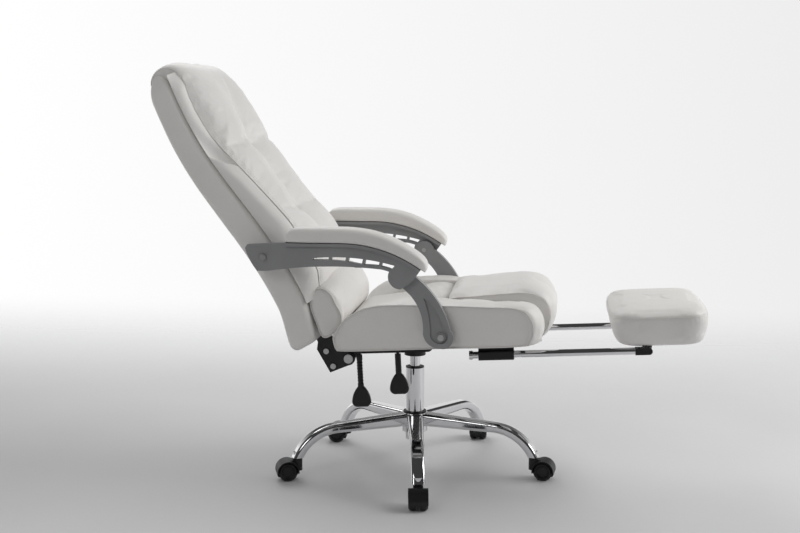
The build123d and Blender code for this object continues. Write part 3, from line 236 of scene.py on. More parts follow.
# %% Finish
class Finish(Nodes):
    """One material with a Principled shader, and the few patterns that the finishes share."""

    def __init__(self, name, **fixed):
        self.material = bpy.data.materials.new(name)
        self.material.use_nodes = True
        super().__init__(self.material.node_tree)
        for socket, value in fixed.items():
            self.socket(socket).default_value = value
        self.where = self.node("ShaderNodeTexCoord", output="Object")

    def socket(self, name):
        shader = self.tree.nodes["Principled BSDF"]
        return shader.inputs[name.replace("_", " ").title().replace("Ior", "IOR")]

    def feed(self, **wires):
        for name, wire in wires.items():
            self.tree.links.new(wire.socket, self.socket(name))
        return self.material

    def noise(self, scale, detail=3.0, roughness=0.55, stretch=None):
        where = self.where
        if stretch is not None:
            where = self.node("ShaderNodeMapping", {}, {"Vector": where, "Scale": stretch})
        inputs = {"Vector": where, "Scale": scale, "Detail": detail, "Roughness": roughness}
        return self.node("ShaderNodeTexNoise", {}, inputs, "Fac")

    def cells(self, scale, feature):
        inputs = {"Vector": self.where, "Scale": scale}
        return self.node("ShaderNodeTexVoronoi", {"feature": feature}, inputs, "Distance")

    def blend(self, share, *colours):
        first, second = (c if isinstance(c, Wire) else (*c, 1.0) for c in colours)
        inputs = {0: share, 6: first, 7: second}
        return self.node("ShaderNodeMix", {"data_type": "RGBA"}, inputs, 2)

    def bump(self, height, strength, distance, below=None):
        inputs = {"Height": height, "Strength": strength, "Distance": distance}
        if below is not None:
            inputs["Normal"] = below
        return self.node("ShaderNodeBump", {}, inputs)


print("materials before", len(bpy.data.materials))

# %% [markdown]
# ## Leather and thread
# Coated leather is off-white with a pebble grain about a millimetre across, shallow wrinkles where
# it is drawn over foam, and a soft sheen. The thread in its seams is waxed and a little darker.
# Grain of that size could be modelled, but as height in the shader it looks the same and costs
# no faces.

# %% Leather and thread
LEATHER_PALE, LEATHER_WARM = (0.80, 0.787, 0.768), (0.74, 0.722, 0.695)
LEATHER_PIT, WELT_PALE = (0.50, 0.47, 0.43), (0.76, 0.745, 0.715)
THREAD_DARK, THREAD_PALE = (0.68, 0.665, 0.635), (0.78, 0.765, 0.74)
GRAIN_PER_METRE = 820.0
PITS_PER_METRE = GRAIN_PER_METRE * 0.55


def leather_finish(name, pale, wrinkle):
    """Colour: two creams mixed by slow noise, darker in the pits of the grain. Height: rounded
    cells of grain over slow wrinkles. Roughness: 0.39 to 0.51 by noise."""
    finish = Finish(name, specular_ior_level=0.42, coat_weight=0.05, coat_roughness=0.35)
    grain = finish.cells(GRAIN_PER_METRE, "SMOOTH_F1")
    pits = (finish.cells(PITS_PER_METRE, "DISTANCE_TO_EDGE") * 9.0).clamp()
    tone = finish.blend((finish.noise(7.0) * 1.6 - 0.3).clamp(), pale, LEATHER_WARM)
    folds = finish.noise(26.0, 4.0, 0.6, stretch=(1.0, 0.45, 1.0))
    return finish.feed(
        base_color=finish.blend((1.0 - pits) * 0.16, tone, LEATHER_PIT),
        roughness=finish.noise(60.0) * 0.12 + 0.39,
        normal=finish.bump(grain * 0.5 + pits * 0.5, 0.16, 0.0006,
                           finish.bump(folds, wrinkle, 0.004)))


def thread_finish():
    """Waxed thread: a warm grey cream with a fine twist along it."""
    finish = Finish("seam_thread", specular_ior_level=0.3)
    twist = finish.noise(1500.0)
    return finish.feed(
        base_color=finish.blend(twist, THREAD_DARK, THREAD_PALE),
        roughness=twist * 0.2 + 0.55,
        normal=finish.bump(twist, 0.3, 0.0003))


leather = leather_finish("white_leather", LEATHER_PALE, 0.22)
leather_welt = leather_finish("leather_welt", WELT_PALE, 0.05)
thread = thread_finish()
print("leather grain", round(1000 / GRAIN_PER_METRE, 2), "mm")

# %% [markdown]
# ## Metals
# The base, the rods and the gas column are chromed: near mirror, with faint smudges. Bolts are
# zinc plated, and the pressed brackets and the tray have a black powder coat. One grey metal could
# serve for all, but what tells them apart is how they mirror the room, so each has its own skin.

# %% Metals
def chrome_finish():
    """Bright plate: metal, roughness 0.035 to 0.135 in slow smudges, and a barely uneven skin."""
    finish = Finish("chrome", metallic=1.0)
    smudge = finish.noise(14.0, 5.0)
    fine = finish.noise(260.0)
    return finish.feed(
        base_color=finish.blend(smudge, (0.70, 0.70, 0.715), (0.80, 0.80, 0.81)),
        roughness=smudge * 0.07 + fine * 0.03 + 0.035,
        normal=finish.bump(finish.noise(40.0), 0.02, 0.001))


def zinc_finish():
    """Plated steel: metal, dull, with fine turning marks and stains of oil."""
    finish = Finish("bright_steel", metallic=1.0)
    marks = finish.noise(1.0, stretch=(900.0, 120.0, 900.0))
    stain = finish.noise(90.0)
    return finish.feed(
        base_color=finish.blend(stain, (0.50, 0.50, 0.51), (0.66, 0.66, 0.65)),
        roughness=marks * 0.22 + 0.22,
        normal=finish.bump(marks, 0.12, 0.0003))


def coated_steel_finish():
    """Black powder coat: a shallow orange peel, paler where it is rubbed."""
    finish = Finish("black_steel", specular_ior_level=0.45)
    peel = finish.noise(420.0, 2.0)
    rub = (finish.noise(22.0, 5.0) * 2.4 - 1.15).clamp()
    return finish.feed(
        base_color=finish.blend(rub * 0.5, (0.012, 0.012, 0.013), (0.035, 0.035, 0.036)),
        roughness=peel * 0.14 + 0.34,
        normal=finish.bump(peel, 0.18, 0.0005))


slot_finish = {"white_leather": leather, "chrome": chrome_finish(),
               "bright_steel": zinc_finish(), "black_steel": coated_steel_finish()}
print("metals", len(slot_finish) - 1)

# %% [markdown]
# ## Plastics, wood and dust cover
# The arms are satin moulded plastic, the casters and levers black nylon, the hidden boards plywood.
# A thin black dust cover is stapled under the seat board and over the back panel. Flat colours
# would be enough for parts so plain, but a little grain and wear makes them read as real plastic.

# %% Plastics, wood and dust cover
GREY_DARK, GREY_PALE = (0.245, 0.247, 0.252), (0.295, 0.297, 0.302)
BLACK_DARK, BLACK_PALE = (0.004, 0.004, 0.005), (0.010, 0.010, 0.011)
DUST_COVERED = ("seat_board", "back_board")


def moulded_finish(name, dark, pale, roughness, spark, strength):
    """Moulded plastic: two close tones in slow noise, a fine spark-eroded grain in the height,
    rubbed patches."""
    finish = Finish(name, specular_ior_level=0.46)
    grain = finish.noise(spark, 2.0)
    rub = finish.noise(12.0, 4.0)
    return finish.feed(
        base_color=finish.blend((rub * 1.5 - 0.25).clamp(), dark, pale),
        roughness=grain * 0.16 + rub * 0.08 + roughness,
        normal=finish.bump(grain, strength, 0.0004))


def plywood_finish():
    """Birch plywood: stretched noise for the face grain, thin dark pores along it."""
    finish = Finish("plywood", specular_ior_level=0.3)
    face = finish.noise(1.0, 5.0, 0.6, stretch=(18.0, 160.0, 160.0))
    pores = (finish.noise(1.0, stretch=(60.0, 900.0, 900.0)) * 3.0 - 1.6).clamp()
    tone = finish.blend(face, (0.50, 0.36, 0.22), (0.66, 0.50, 0.32))
    return finish.feed(
        base_color=finish.blend(pores * 0.5, tone, (0.30, 0.20, 0.11)),
        roughness=face * 0.15 + 0.55,
        normal=finish.bump(face + pores, 0.2, 0.0004))


def dust_cover_finish():
    """Spun-bonded cloth: near black, a web of fine fibres in the height, and dull."""
    finish = Finish("black_cloth", specular_ior_level=0.2)
    fibres = finish.cells(650.0, "DISTANCE_TO_EDGE")
    dust = finish.noise(9.0, 5.0)
    return finish.feed(
        base_color=finish.blend(dust, (0.010, 0.010, 0.011), (0.024, 0.024, 0.025)),
        roughness=dust * 0.1 + 0.8,
        normal=finish.bump(fibres, 0.3, 0.0005))


slot_finish |= {
    "black_plastic": moulded_finish("black_plastic", BLACK_DARK, BLACK_PALE, 0.30, 900.0, 0.16),
    "grey_plastic": moulded_finish("grey_plastic", GREY_DARK, GREY_PALE, 0.26, 700.0, 0.10),
    "plywood": plywood_finish(), "black_cloth": dust_cover_finish()}
for part in frame["record"]["subparts"]:
    slot = "black_cloth" if part["node"] in DUST_COVERED else part["material_slot"]
    mesh = frame["nodes"][part["node"]].data
    mesh.materials.clear()
    mesh.materials.append(slot_finish[slot])
print("finishes", len(bpy.data.materials))

# %% [markdown]
# ## The floor and the world
# The floor is one grey sheet that fades into the white backdrop behind the chair, as a paper sweep
# does. The world stands for the rest of the studio: white behind the chair, and a dark room overhead
# and behind the camera, which is what puts dark streaks into the chrome. A wall could stand behind
# the chair, but its edge and its shadow would show from other sides.

# %% Floor and world
FLOOR_REACH = 14.0
FLOOR_DARK, FLOOR_PALE = (0.60, 0.598, 0.606), (0.68, 0.678, 0.686)
FLOOR_FADES = (0.3, 2.9)  # metres behind the column, from full floor to bare backdrop
FLOOR_ENDS = (2.4, 5.0)  # the same to the other three sides
ROOM_LIGHT, STUDIO_LIGHT = 0.25, 0.80  # radiance behind the camera and behind the chair
ROOM_SEEN = 0.05
STUDIO_TURN = 0.7  # y over which the room turns into the studio
OVERHEAD_FROM, OVERHEAD_SPAN, OVERHEAD_LOSS = 0.1, 0.25, 0.4
BACKDROP_MIDDLE, BACKDROP_FALL = 0.90, 0.24


def floor_finish():
    """Grey floor with slow marbling and a broad soft sheen. Its alpha falls from 1 to 0 behind the
    chair, and farther off to the other sides."""
    finish = Finish("floor", specular_ior_level=0.2)
    cloud = finish.noise(1.3, 5.0)
    x, y = (finish.node("ShaderNodeSeparateXYZ", {}, {0: finish.where}, axis) for axis in "XY")
    ways = ((y, FLOOR_FADES), (0.0 - y, FLOOR_ENDS), (x, FLOOR_ENDS), (0.0 - x, FLOOR_ENDS))
    gone = sum(((way - near) / (far - near)).clamp() for way, (near, far) in ways).clamp()
    return finish.feed(
        base_color=finish.blend(cloud, FLOOR_DARK, FLOOR_PALE),
        roughness=cloud * 0.2 + 0.5,
        alpha=1.0 - gone * gone * (3.0 - gone * 2.0))


def studio_world():
    """Radiance by direction (x, y, z): from the room's to the studio's as y goes from -0.35 to
    0.35, and less overhead. Metal and glass see the same studio with the lit backdrop, brighter
    towards -x, and the camera sees that backdrop all round."""
    world = bpy.data.worlds.new("studio")
    world.use_nodes = True
    nodes = Nodes(world.node_tree)
    way = nodes.node("ShaderNodeTexCoord", output="Generated")
    x, y, z = (nodes.node("ShaderNodeSeparateXYZ", {}, {0: way}, axis) for axis in "XYZ")
    camera_ray, glossy_ray, glass_ray = (
        nodes.node("ShaderNodeLightPath", output=f"Is {kind} Ray")
        for kind in ("Camera", "Glossy", "Transmission"))
    behind = (y / STUDIO_TURN + 0.5).clamp()
    overhead = ((z - OVERHEAD_FROM) / OVERHEAD_SPAN).clamp()
    lit = behind * (1.0 - overhead * OVERHEAD_LOSS)
    light = lit * (STUDIO_LIGHT - ROOM_LIGHT) + ROOM_LIGHT
    backdrop = BACKDROP_MIDDLE - x * BACKDROP_FALL
    seen = behind * (1.0 - overhead) * (backdrop - ROOM_SEEN) + ROOM_SEEN
    mirrored = (glossy_ray + glass_ray).clamp()
    radiance = light + (seen - light) * mirrored + (backdrop - light) * camera_ray
    nodes.tree.links.new(radiance.socket, nodes.tree.nodes["Background"].inputs["Color"])
    return world


floor_mesh = bpy.data.meshes.new("floor")
floor_corners = [(-1, -1), (1, -1), (1, 1), (-1, 1)]
floor_mesh.from_pydata([(x * FLOOR_REACH, y * FLOOR_REACH, 0) for x, y in floor_corners], [],
                       [(0, 1, 2, 3)])
floor_mesh.materials.append(floor_finish())
floor = bpy.data.objects.new("floor", floor_mesh)
scene.collection.objects.link(floor)
scene.world = studio_world()
print("floor", 2 * FLOOR_REACH, "m")

# %% [markdown]
# ## Surfaces from grids
# Every padded piece is a grid of points. One direction runs round the piece and closes on itself,
# the other runs along it, and the two ends are closed. The pieces could be sculpted from boxes, but
# a formula can be read and changed, and numpy works out the whole grid at once.

# %% Curves and waves
CURVE_STEPS = 24


def curve_through(stops, count, closed=True):
    """Catmull-Rom curve through the stops: on each span, with a, b, c, d the stops round it and t
    from 0 to 1, p = b + t(c - a)/2 + t^2(a - 2.5b + 2c - d/2) + t^3(1.5(b - c) + (d - a)/2). Then
    it is spaced evenly by length."""
    stops = np.asarray(stops, float)
    if closed:
        a, b, c, d = (np.roll(stops, shift, 0) for shift in (1, 0, -1, -2))
    else:
        more = np.vstack([2 * stops[0] - stops[1], stops, 2 * stops[-1] - stops[-2]])
        a, b, c, d = more[:-3], more[1:-2], more[2:-1], more[3:]
    t = (np.arange(CURVE_STEPS) / CURVE_STEPS)[None, :, None]
    a, b, c, d = (q[:, None, :] for q in (a, b, c, d))
    line = (b + t * (c - a) / 2 + t ** 2 * (a - 2.5 * b + 2 * c - 0.5 * d)
            + t ** 3 * (1.5 * (b - c) + 0.5 * (d - a)))
    line = line.reshape(-1, stops.shape[1])
    line = np.vstack([line, line[:1] if closed else stops[-1:]])
    length = lengths(line)
    want = np.linspace(0, length[-1], count, endpoint=not closed)
    return at_length(want, length, line)


def lengths(path):
    """The length along a path up to each of its points."""
    return np.concatenate([[0], np.cumsum(np.linalg.norm(np.diff(path, axis=0), axis=1))])


def at_length(want, length, values):
    """The columns of values, read at the lengths that are wanted."""
    return np.stack([np.interp(want, length, column) for column in values.T], 1)


def circle(count):
    """Even angles once round, without the last."""
    return np.linspace(0, 2 * pi, count, endpoint=False)


def sine_spread(count):
    """From -1 to 1, closer together towards both ends: sin(a) for a from -pi/2 to pi/2."""
    return np.sin(np.linspace(-pi / 2, pi / 2, count))


def rounded(wave, squareness):
    """w|w|^(2/n - 1): turns the cosine or sine of a circle into that of a superellipse."""
    return wave * np.maximum(np.abs(wave), 1e-6) ** (2 / squareness - 1)


def smoothstep(t):
    """3t^2 - 2t^3 on t kept from 0 to 1."""
    t = np.clip(t, 0, 1)
    return t * t * (3 - 2 * t)


def bell(x, middle, width):
    """exp(-((x - middle)/width)^2)."""
    return np.exp(-((x - middle) / width) ** 2)


print("half way up a step", float(smoothstep(0.5)))

# %% [markdown]
# ## Grids into meshes
# The faces of a grid follow from its size alone. Each mesh is checked once: where the volume that
# its faces enclose comes out negative, they all look inwards and are turned round. Edit mode could
# recalculate the normals too, but this needs no mode and says why.

# %% Meshes
def quads(rows, around, closed):
    """Faces of a grid whose rows close on themselves, and whose last row joins the first where
    it is closed."""
    row, col = np.indices((rows if closed else rows - 1, around))
    after, below = (col + 1) % around, (row + 1) % rows
    corners = [row * around + col, row * around + after, below * around + after,
               below * around + col]
    return np.stack(corners, -1).reshape(-1, 4).tolist()


def ring_faces(rows, around):
    """Quads of a tube of closed rings, and the two end caps as single faces."""
    last = (rows - 1) * around
    caps = [list(range(around))[::-1], list(range(last, last + around))]
    return quads(rows, around, closed=False) + caps


def face_outwards(mesh):
    """Flip all the faces where a sixth of the sum of a . (b x c), their volume, is negative."""
    mesh.calc_loop_triangles()
    corners = np.zeros(len(mesh.loop_triangles) * 3, np.int32)
    mesh.loop_triangles.foreach_get("vertices", corners)
    co = np.zeros(len(mesh.vertices) * 3)
    mesh.vertices.foreach_get("co", co)
    a, b, c = (co.reshape(-1, 3)[corners.reshape(-1, 3)[:, k]] for k in range(3))
    if np.einsum("ij,ij->i", a, np.cross(b, c)).sum() < 0:
        mesh.flip_normals()


def add_mesh(name, verts, faces, finish):
    """A mesh object at the origin, smooth shaded, with its faces turned outwards."""
    mesh = bpy.data.meshes.new(name)
    mesh.from_pydata(np.asarray(verts).reshape(-1, 3).tolist(), [], faces)
    mesh.validate()
    mesh.polygons.foreach_set("use_smooth", np.ones(len(mesh.polygons), bool))
    mesh.materials.append(finish)
    piece = bpy.data.objects.new(name, mesh)
    scene.collection.objects.link(piece)
    face_outwards(mesh)
    return piece


def tube_piece(name, grid, finish):
    """A closed piece from a grid of rings: grid[station, around, xyz], in metres."""
    return add_mesh(name, grid, ring_faces(grid.shape[0], grid.shape[1]), finish)


print("faces of a small tube", len(ring_faces(4, 6)))

# %% [markdown]
# ## Welts and stitches
# Upholstery shows its making at the seams. A welt is a thin cord sewn into the seam, here a fine
# tube along the seam's line. Stitches are short capsules laid beside it. Both could be painted as
# bump, but on white leather the seams are what catches the light, so they are real geometry.

# %% Welts and stitches
WELT_RADIUS, WELT_SIDES = 1.2, 8
STITCH_PITCH, STITCH_LENGTH, STITCH_RADIUS, STITCH_SIDES = 6.0, 3.9, 0.42, 6
CAPSULE = ((0.0, 0.35), (0.14, 1.0), (0.86, 1.0), (1.0, 0.35))  # share of length, of radius
NEAR_UP = np.array([0.13, 0.09, 1.0])  # no path here runs exactly this way


def unit(v):
    """Rows of v at a length of 1."""
    return v / np.maximum(np.linalg.norm(v, axis=1, keepdims=True), TINY)


def rings_on(path, side, lift, radius, count):
    """Circles on the points of a path: path + radius (cos a side + sin a lift), in metres."""
    a = circle(count)[None, :, None]
    return path[:, None] + radius * MM * (np.cos(a) * side[:, None] + np.sin(a) * lift[:, None])


def welt(name, path, finish, radius=WELT_RADIUS, closed=True):
    """A tube on a path in metres. Across the path, side is as near level as it can be and lift is
    square to both."""
    step = np.roll(path, -1, 0) - np.roll(path, 1, 0) if closed else np.gradient(path, axis=0)
    ahead = unit(step)
    side = unit(np.cross(ahead, NEAR_UP))
    ring = rings_on(path, side, np.cross(side, ahead), radius, WELT_SIDES)
    if not closed:
        return tube_piece(name, ring, finish)
    return add_mesh(name, ring, quads(len(path), WELT_SIDES, closed=True), finish)


def stitches(name, paths, lift_by):
    """Capsules along paths: each runs STITCH_LENGTH of every STITCH_PITCH, raised by lift_by along
    the path's given normals. A capsule is four rings at the places and sizes of CAPSULE."""
    verts, faces, base = [], [], 0
    one, each = ring_faces(len(CAPSULE), STITCH_SIDES), len(CAPSULE) * STITCH_SIDES
    for path, normal in paths:
        length = lengths(path)
        starts = np.arange(0, length[-1] - STITCH_LENGTH * MM, STITCH_PITCH * MM)
        start = at_length(starts, length, path)
        run = at_length(starts + STITCH_LENGTH * MM, length, path) - start
        up_way = at_length(starts, length, normal)
        ahead = unit(run)
        side = unit(np.cross(ahead, up_way))
        lift = np.cross(side, ahead)
        block = np.stack([
            rings_on(start + run * share + up_way * lift_by * MM, side, lift,
                     STITCH_RADIUS * size, STITCH_SIDES) for share, size in CAPSULE], 1)
        firsts = base + np.arange(len(starts)) * each
        faces += [[first + corner for corner in face] for first in firsts.tolist() for face in one]
        verts.append(block.reshape(-1, 3))
        base += len(starts) * each
    return add_mesh(name, np.vstack(verts), faces, thread)


def dress(piece, body, *nodes, slot="white_leather", fill=None):
    """Attach a piece to the body it rides on, and hide the frame's parts that it stands for. slot and
    fill are not used.
    """
    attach(piece, body)
    if nodes:
        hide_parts(*nodes)
    return piece


print("stitch pitch", STITCH_PITCH, "mm")

# %% [markdown]
# ## Stuffing by cloth
# Foam under leather pushes outwards and the seams hold it back. Each cushion below, though not the
# side strips or the arm pads, becomes cloth with a little pressure inside and the seams pinned, runs
# for a few frames, and is capped so that no point moves more than the seam allowance would let it.
# A smoothing modifier could round the pieces as well, but cloth finds by itself where leather
# bulges and where it is drawn tight.

# %% Puff
PUFF_FRAMES = 16
CLOTH = {
    "quality": 4, "mass": 0.25, "tension_stiffness": 18.0, "compression_stiffness": 18.0,
    "shear_stiffness": 8.0, "bending_stiffness": 0.4, "use_pressure": True, "shrink_min": -0.01,
    "vertex_group_mass": "pins"}


def coordinates(mesh):
    """The mesh's points as rows of single precision."""
    co = np.zeros(len(mesh.vertices) * 3, np.float32)
    mesh.vertices.foreach_get("co", co)
    return co.reshape(-1, 3)


def puff(piece, held, pressure, cap):
    """Blow a closed mesh up as cloth: the held points stay, every move is cut to the cap in
    millimetres, and the result is written back into the mesh."""
    mesh = piece.data
    rest = coordinates(mesh)
    group = piece.vertex_groups.new(name="pins")
    group.add(np.flatnonzero(held).tolist(), 1.0, "REPLACE")
    cloth = piece.modifiers.new("puff", "CLOTH")
    for setting, value in CLOTH.items():
        setattr(cloth.settings, setting, value)
    cloth.settings.uniform_pressure_force = pressure
    cloth.settings.effector_weights.gravity = 0.0
    cloth.collision_settings.use_collision = False
    cloth.point_cache.frame_start, cloth.point_cache.frame_end = 1, PUFF_FRAMES
    for step in range(1, PUFF_FRAMES + 1):
        scene.frame_set(step)
    after = piece.evaluated_get(bpy.context.evaluated_depsgraph_get()).to_mesh()
    move = coordinates(after) - rest
    piece.modifiers.remove(cloth)
    piece.vertex_groups.remove(group)
    scene.frame_set(1)
    size = np.linalg.norm(move, axis=1, keepdims=True)
    move *= np.minimum(1.0, cap * MM / np.maximum(size, TINY))
    mesh.vertices.foreach_set("co", (rest + move).ravel())
    mesh.update()
    print(piece.name, "puffed by up to", round(min(float(size.max()) / MM, cap), 1), "mm")


def cushion(name, grid, held, body, *nodes, pressure, cap, fill):
    """A leather piece from a grid in metres, stuffed by cloth and dressed."""
    piece = tube_piece(name, grid, leather)
    puff(piece, held, pressure, cap)
    return dress(piece, body, *nodes, fill=fill)


print("puff runs", PUFF_FRAMES, "frames")

# %% [markdown]
# ## The back's bed
# The back's plywood is bent to a shallow S. The padding lies on its front and rolls over its head,
# so the padding is drawn as a thickness measured from a line: up the bed, then round the head.
# Cover, padding, strips and seams could each have a curve, but with one line they always meet.

# %% Bed line
BED_MID, BED_SWING = -4.0, 19.0
LUMBAR_HEIGHT, SHOULDER_HEIGHT = 290.0, 710.0
BACK_BOTTOM, BACK_TOP = 90.0, 882.0
BACK_HALF, FOOT_NARROWING, HEAD_NARROWING = 246.0, 20.0, 14.0
BACK_WAIST, BACK_SHOULDER = 330.0, 640.0
HEAD_TURN, HEAD_RADIUS, HEAD_END = 841.0, 29.0, 917.0


def bed(z):
    """Mid plus swing times cos(pi (z - lumbar) / (shoulder - lumbar)): forwards at the lumbar, back
    at the shoulders."""
    share = (z - LUMBAR_HEIGHT) / (SHOULDER_HEIGHT - LUMBAR_HEIGHT)
    return BED_MID + BED_SWING * np.cos(pi * share)


def back_half(z):
    """Half width: full from waist to shoulders, narrowing in a straight line to foot and head."""
    foot = FOOT_NARROWING * np.clip((BACK_WAIST - z) / (BACK_WAIST - BACK_BOTTOM), 0, 1)
    head = HEAD_NARROWING * np.clip((z - BACK_SHOULDER) / (BACK_TOP - BACK_SHOULDER), 0, 1)
    return BACK_HALF - foot - head


def over_head(s):
    """The padding's line and its outward direction at a length s. Up to HEAD_TURN s is the height
    on the bed, and past it s runs round a circle of HEAD_RADIUS behind the bed."""
    z = np.minimum(s, HEAD_TURN)
    turn = np.maximum(s - HEAD_TURN, 0) / HEAD_RADIUS
    middle = bed(HEAD_TURN) - HEAD_RADIUS
    x = np.where(turn > 0, middle + HEAD_RADIUS * np.cos(turn), bed(z))
    z = np.where(turn > 0, HEAD_TURN + HEAD_RADIUS * np.sin(turn), z)
    return x, z, np.cos(turn), np.sin(turn)


print("bed from", round(float(bed(LUMBAR_HEIGHT)), 1), "to",
      round(float(bed(SHOULDER_HEIGHT)), 1), "mm")

# %% [markdown]
# ## The rear cover
# Behind, the back is one smooth panel with a broad band down each side, sewn together along a seam
# where the band meets the padding. A bevelled box could be bent to that shape. A superellipse holds
# the flat panel and the soft corner in one formula, and is drawn in at head and foot.

# %% Rear cover
COVER_AROUND, COVER_ALONG, COVER_END_ROWS = 120, 110, 11
COVER_SQUARENESS = 7.0
COVER_FOOT, COVER_HEAD = 24.0, 66.0  # radii of the rounding at foot and head
DRAWN_DEPTH, DRAWN_WIDTH = 0.75, 0.6  # how much of that rounding goes into each
DEPTH_Z, DEPTH = (90.0, 450.0, 570.0, 680.0, 765.0, 850.0), (86.0, 87.0, 84.0, 79.0, 75.0, 73.0)
COVER_CROWN, COVER_PUCKER = 6.0, 1.1
SEAM_SWEEP, SWEEP_FROM, SWEEP_SPAN = 13.0, 215.0, 110.0


def side_line(z):
    """Where the band meets the padding: 1 mm ahead of the bed, swept back towards the foot."""
    return bed(z) + 1.0 - SEAM_SWEEP * smoothstep((SWEEP_FROM - z) / SWEEP_SPAN)


def quarter_round(radius, far):
    """r - sqrt(r^2 - (r - d)^2) within r of an end, and nothing beyond."""
    inside = np.maximum(radius - far, 0)
    return radius - np.sqrt(np.maximum(radius ** 2 - inside ** 2, 0))


def rear_cover(u, v):
    """At height v the ring is a superellipse of exponent 7: x = mid + a c|c|^(2/7 - 1) and
    y = b s|s|^(2/7 - 1), with c, s the cosine and sine of u. It is drawn in by a quarter round at
    foot and head, and the rear panel has a slight crown and puckers along each seam."""
    inset = quarter_round(COVER_FOOT, v - BACK_BOTTOM) + quarter_round(COVER_HEAD, BACK_TOP - v)
    c, s = np.cos(u), np.sin(u)
    depth = np.interp(v, DEPTH_Z, DEPTH)
    half_x = np.maximum(depth / 2 - DRAWN_DEPTH * inset, 0.4)
    half_y = np.maximum(back_half(v) - DRAWN_WIDTH * inset, 1.0)
    y = half_y * rounded(s, COVER_SQUARENESS)
    crown = COVER_CROWN * np.clip(-c, 0, 1) ** 0.5 * (1 - (y / BACK_HALF) ** 2)
    x = side_line(v) - depth / 2 + half_x * rounded(c, COVER_SQUARENESS) - crown
    puckers = COVER_PUCKER * np.sin(v / 23.0 + 2.1 * s) * np.sin(v / 61.0) * np.abs(s) ** 6
    return from_back(points(x, y + np.sign(s) * puckers, v))


end_share = 1 - np.cos(np.linspace(0, pi / 2, COVER_END_ROWS))
heights = np.concatenate([
    BACK_BOTTOM + COVER_FOOT * end_share,
    np.linspace(BACK_BOTTOM + COVER_FOOT, BACK_TOP - COVER_HEAD, COVER_ALONG)[1:-1],
    (BACK_TOP - COVER_HEAD * end_share)[::-1]])
grid = rear_cover(circle(COVER_AROUND)[None, :], heights[:, None])
cover = tube_piece("rear_cover", grid, leather)
dress(cover, "back", "back_cover", fill=0.7)
print("rear cover", len(cover.data.vertices), "points")

# %% [markdown]
# ## The tufted padding
# The front of the back is stuffed in two columns and three rows. Thread pulls the middle down at two
# tufts, a crease runs between the columns, and a shallow channel runs out from each tuft to the side.
# At the head the padding rolls over the top and ends behind it. It could be sculpted, but as a sum
# of bells and lines each crease stays where its seam is.

# %% Padding thickness
STRIP_WIDTH = 27.0
PAD_HALF = BACK_HALF - STRIP_WIDTH
PAD_FOOT = 186.0
PAD_LEAST = 0.8
TUFTS = (630.0, 421.0)
CREST_Z = (186.0, 206.0, 235.0, 290.0, 345.0, 405.0, 465.0, 525.0, 580.0, 630.0, 680.0, 730.0,
           780.0, 815.0, 840.0, 868.0, 889.0, 904.0, 917.0)
CREST_T = (42.0, 62.0, 74.0, 81.0, 83.0, 74.0, 70.0, 71.0, 74.0, 75.0, 79.0, 79.0,
           74.0, 64.0, 53.0, 36.0, 22.0, 12.0, 3.0)
EDGE_Z = (186.0, 204.0, 245.0, 330.0, 396.0, 447.0, 526.0, 593.0, 632.0, 678.0, 750.0, 790.0,
          818.0, 845.0, 868.0, 889.0, 917.0)
EDGE_T = (22.0, 38.0, 54.0, 61.0, 60.0, 55.0, 47.0, 39.0, 32.0, 25.0, 22.0, 23.0,
          26.0, 25.0, 20.0, 13.0, 2.0)
CREASE_DEPTH, CREASE_TOP, CREASE_FADE = 25.0, 800.0, 120.0
LOBE_ROUNDNESS = 0.62
CHANNEL_DEPTH, CHANNEL_WIDTH = 9.0, 32.0
NOTCH_DEPTH, NOTCH_REACH, NOTCH_WIDTH = 5.0, 0.16, 9.0
TUFT_DEPTH, TUFT_WIDTH = 8.0, 15.0
FAN_HEIGHT, FAN_FAR, FAN_WIDTH, FAN_FOLDS = 0.7, 36.0, 20.0, 7


def padding_thickness(y, s):
    """Thickness over the bed at y across and s along. Across a column, t runs from 0 in the crease
    to 1 at the seam: it is a straight line from crease to seam plus (4t(1 - t))^0.62 times what the
    crest rises over that line. Tufts are bells of thickness taken away. A channel is a broad,
    shallow bell along s with a sharp notch beside the tuft, and small folds fan out from it."""
    crest, edge = np.interp(s, CREST_Z, CREST_T), np.interp(s, EDGE_Z, EDGE_T)
    t = np.clip(np.abs(y) / PAD_HALF, 0, 1)
    crease = crest - CREASE_DEPTH * smoothstep((CREASE_TOP - s) / CREASE_FADE)
    crease = np.maximum(crease, PAD_LEAST)
    line = crease + (edge - crease) * t
    body = line + (crest - line) * (4 * t * (1 - t)) ** LOBE_ROUNDNESS
    notch = NOTCH_DEPTH * smoothstep((NOTCH_REACH - t) / NOTCH_REACH)
    for tuft in TUFTS:
        body = body - CHANNEL_DEPTH * bell(s, tuft, CHANNEL_WIDTH) * (1 - t * t)
        body = body - notch * bell(s, tuft + 4 * t, NOTCH_WIDTH)
        far = np.hypot(y, s - tuft)
        fan = FAN_HEIGHT * np.cos(FAN_FOLDS * np.arctan2(s - tuft, np.abs(y) + 1e-6))
        body = body - TUFT_DEPTH * bell(far, 0.0, TUFT_WIDTH) - fan * bell(far, FAN_FAR, FAN_WIDTH)
    return np.maximum(body, PAD_LEAST)


def padding_squeeze(s):
    """The padding's width at s as a share of its widest."""
    return (back_half(np.minimum(s, BACK_TOP)) - STRIP_WIDTH) / PAD_HALF


print("padding at its middle", round(float(padding_thickness(PAD_HALF / 2, 525.0)), 1), "mm")

# %% [markdown]
# ## Sewing the padding
# A ring of the padding goes out over its face, down one side, back along the bed and up the other
# side. Only the face may swell: the sides, the crease and the tufts are held as a seam holds them.

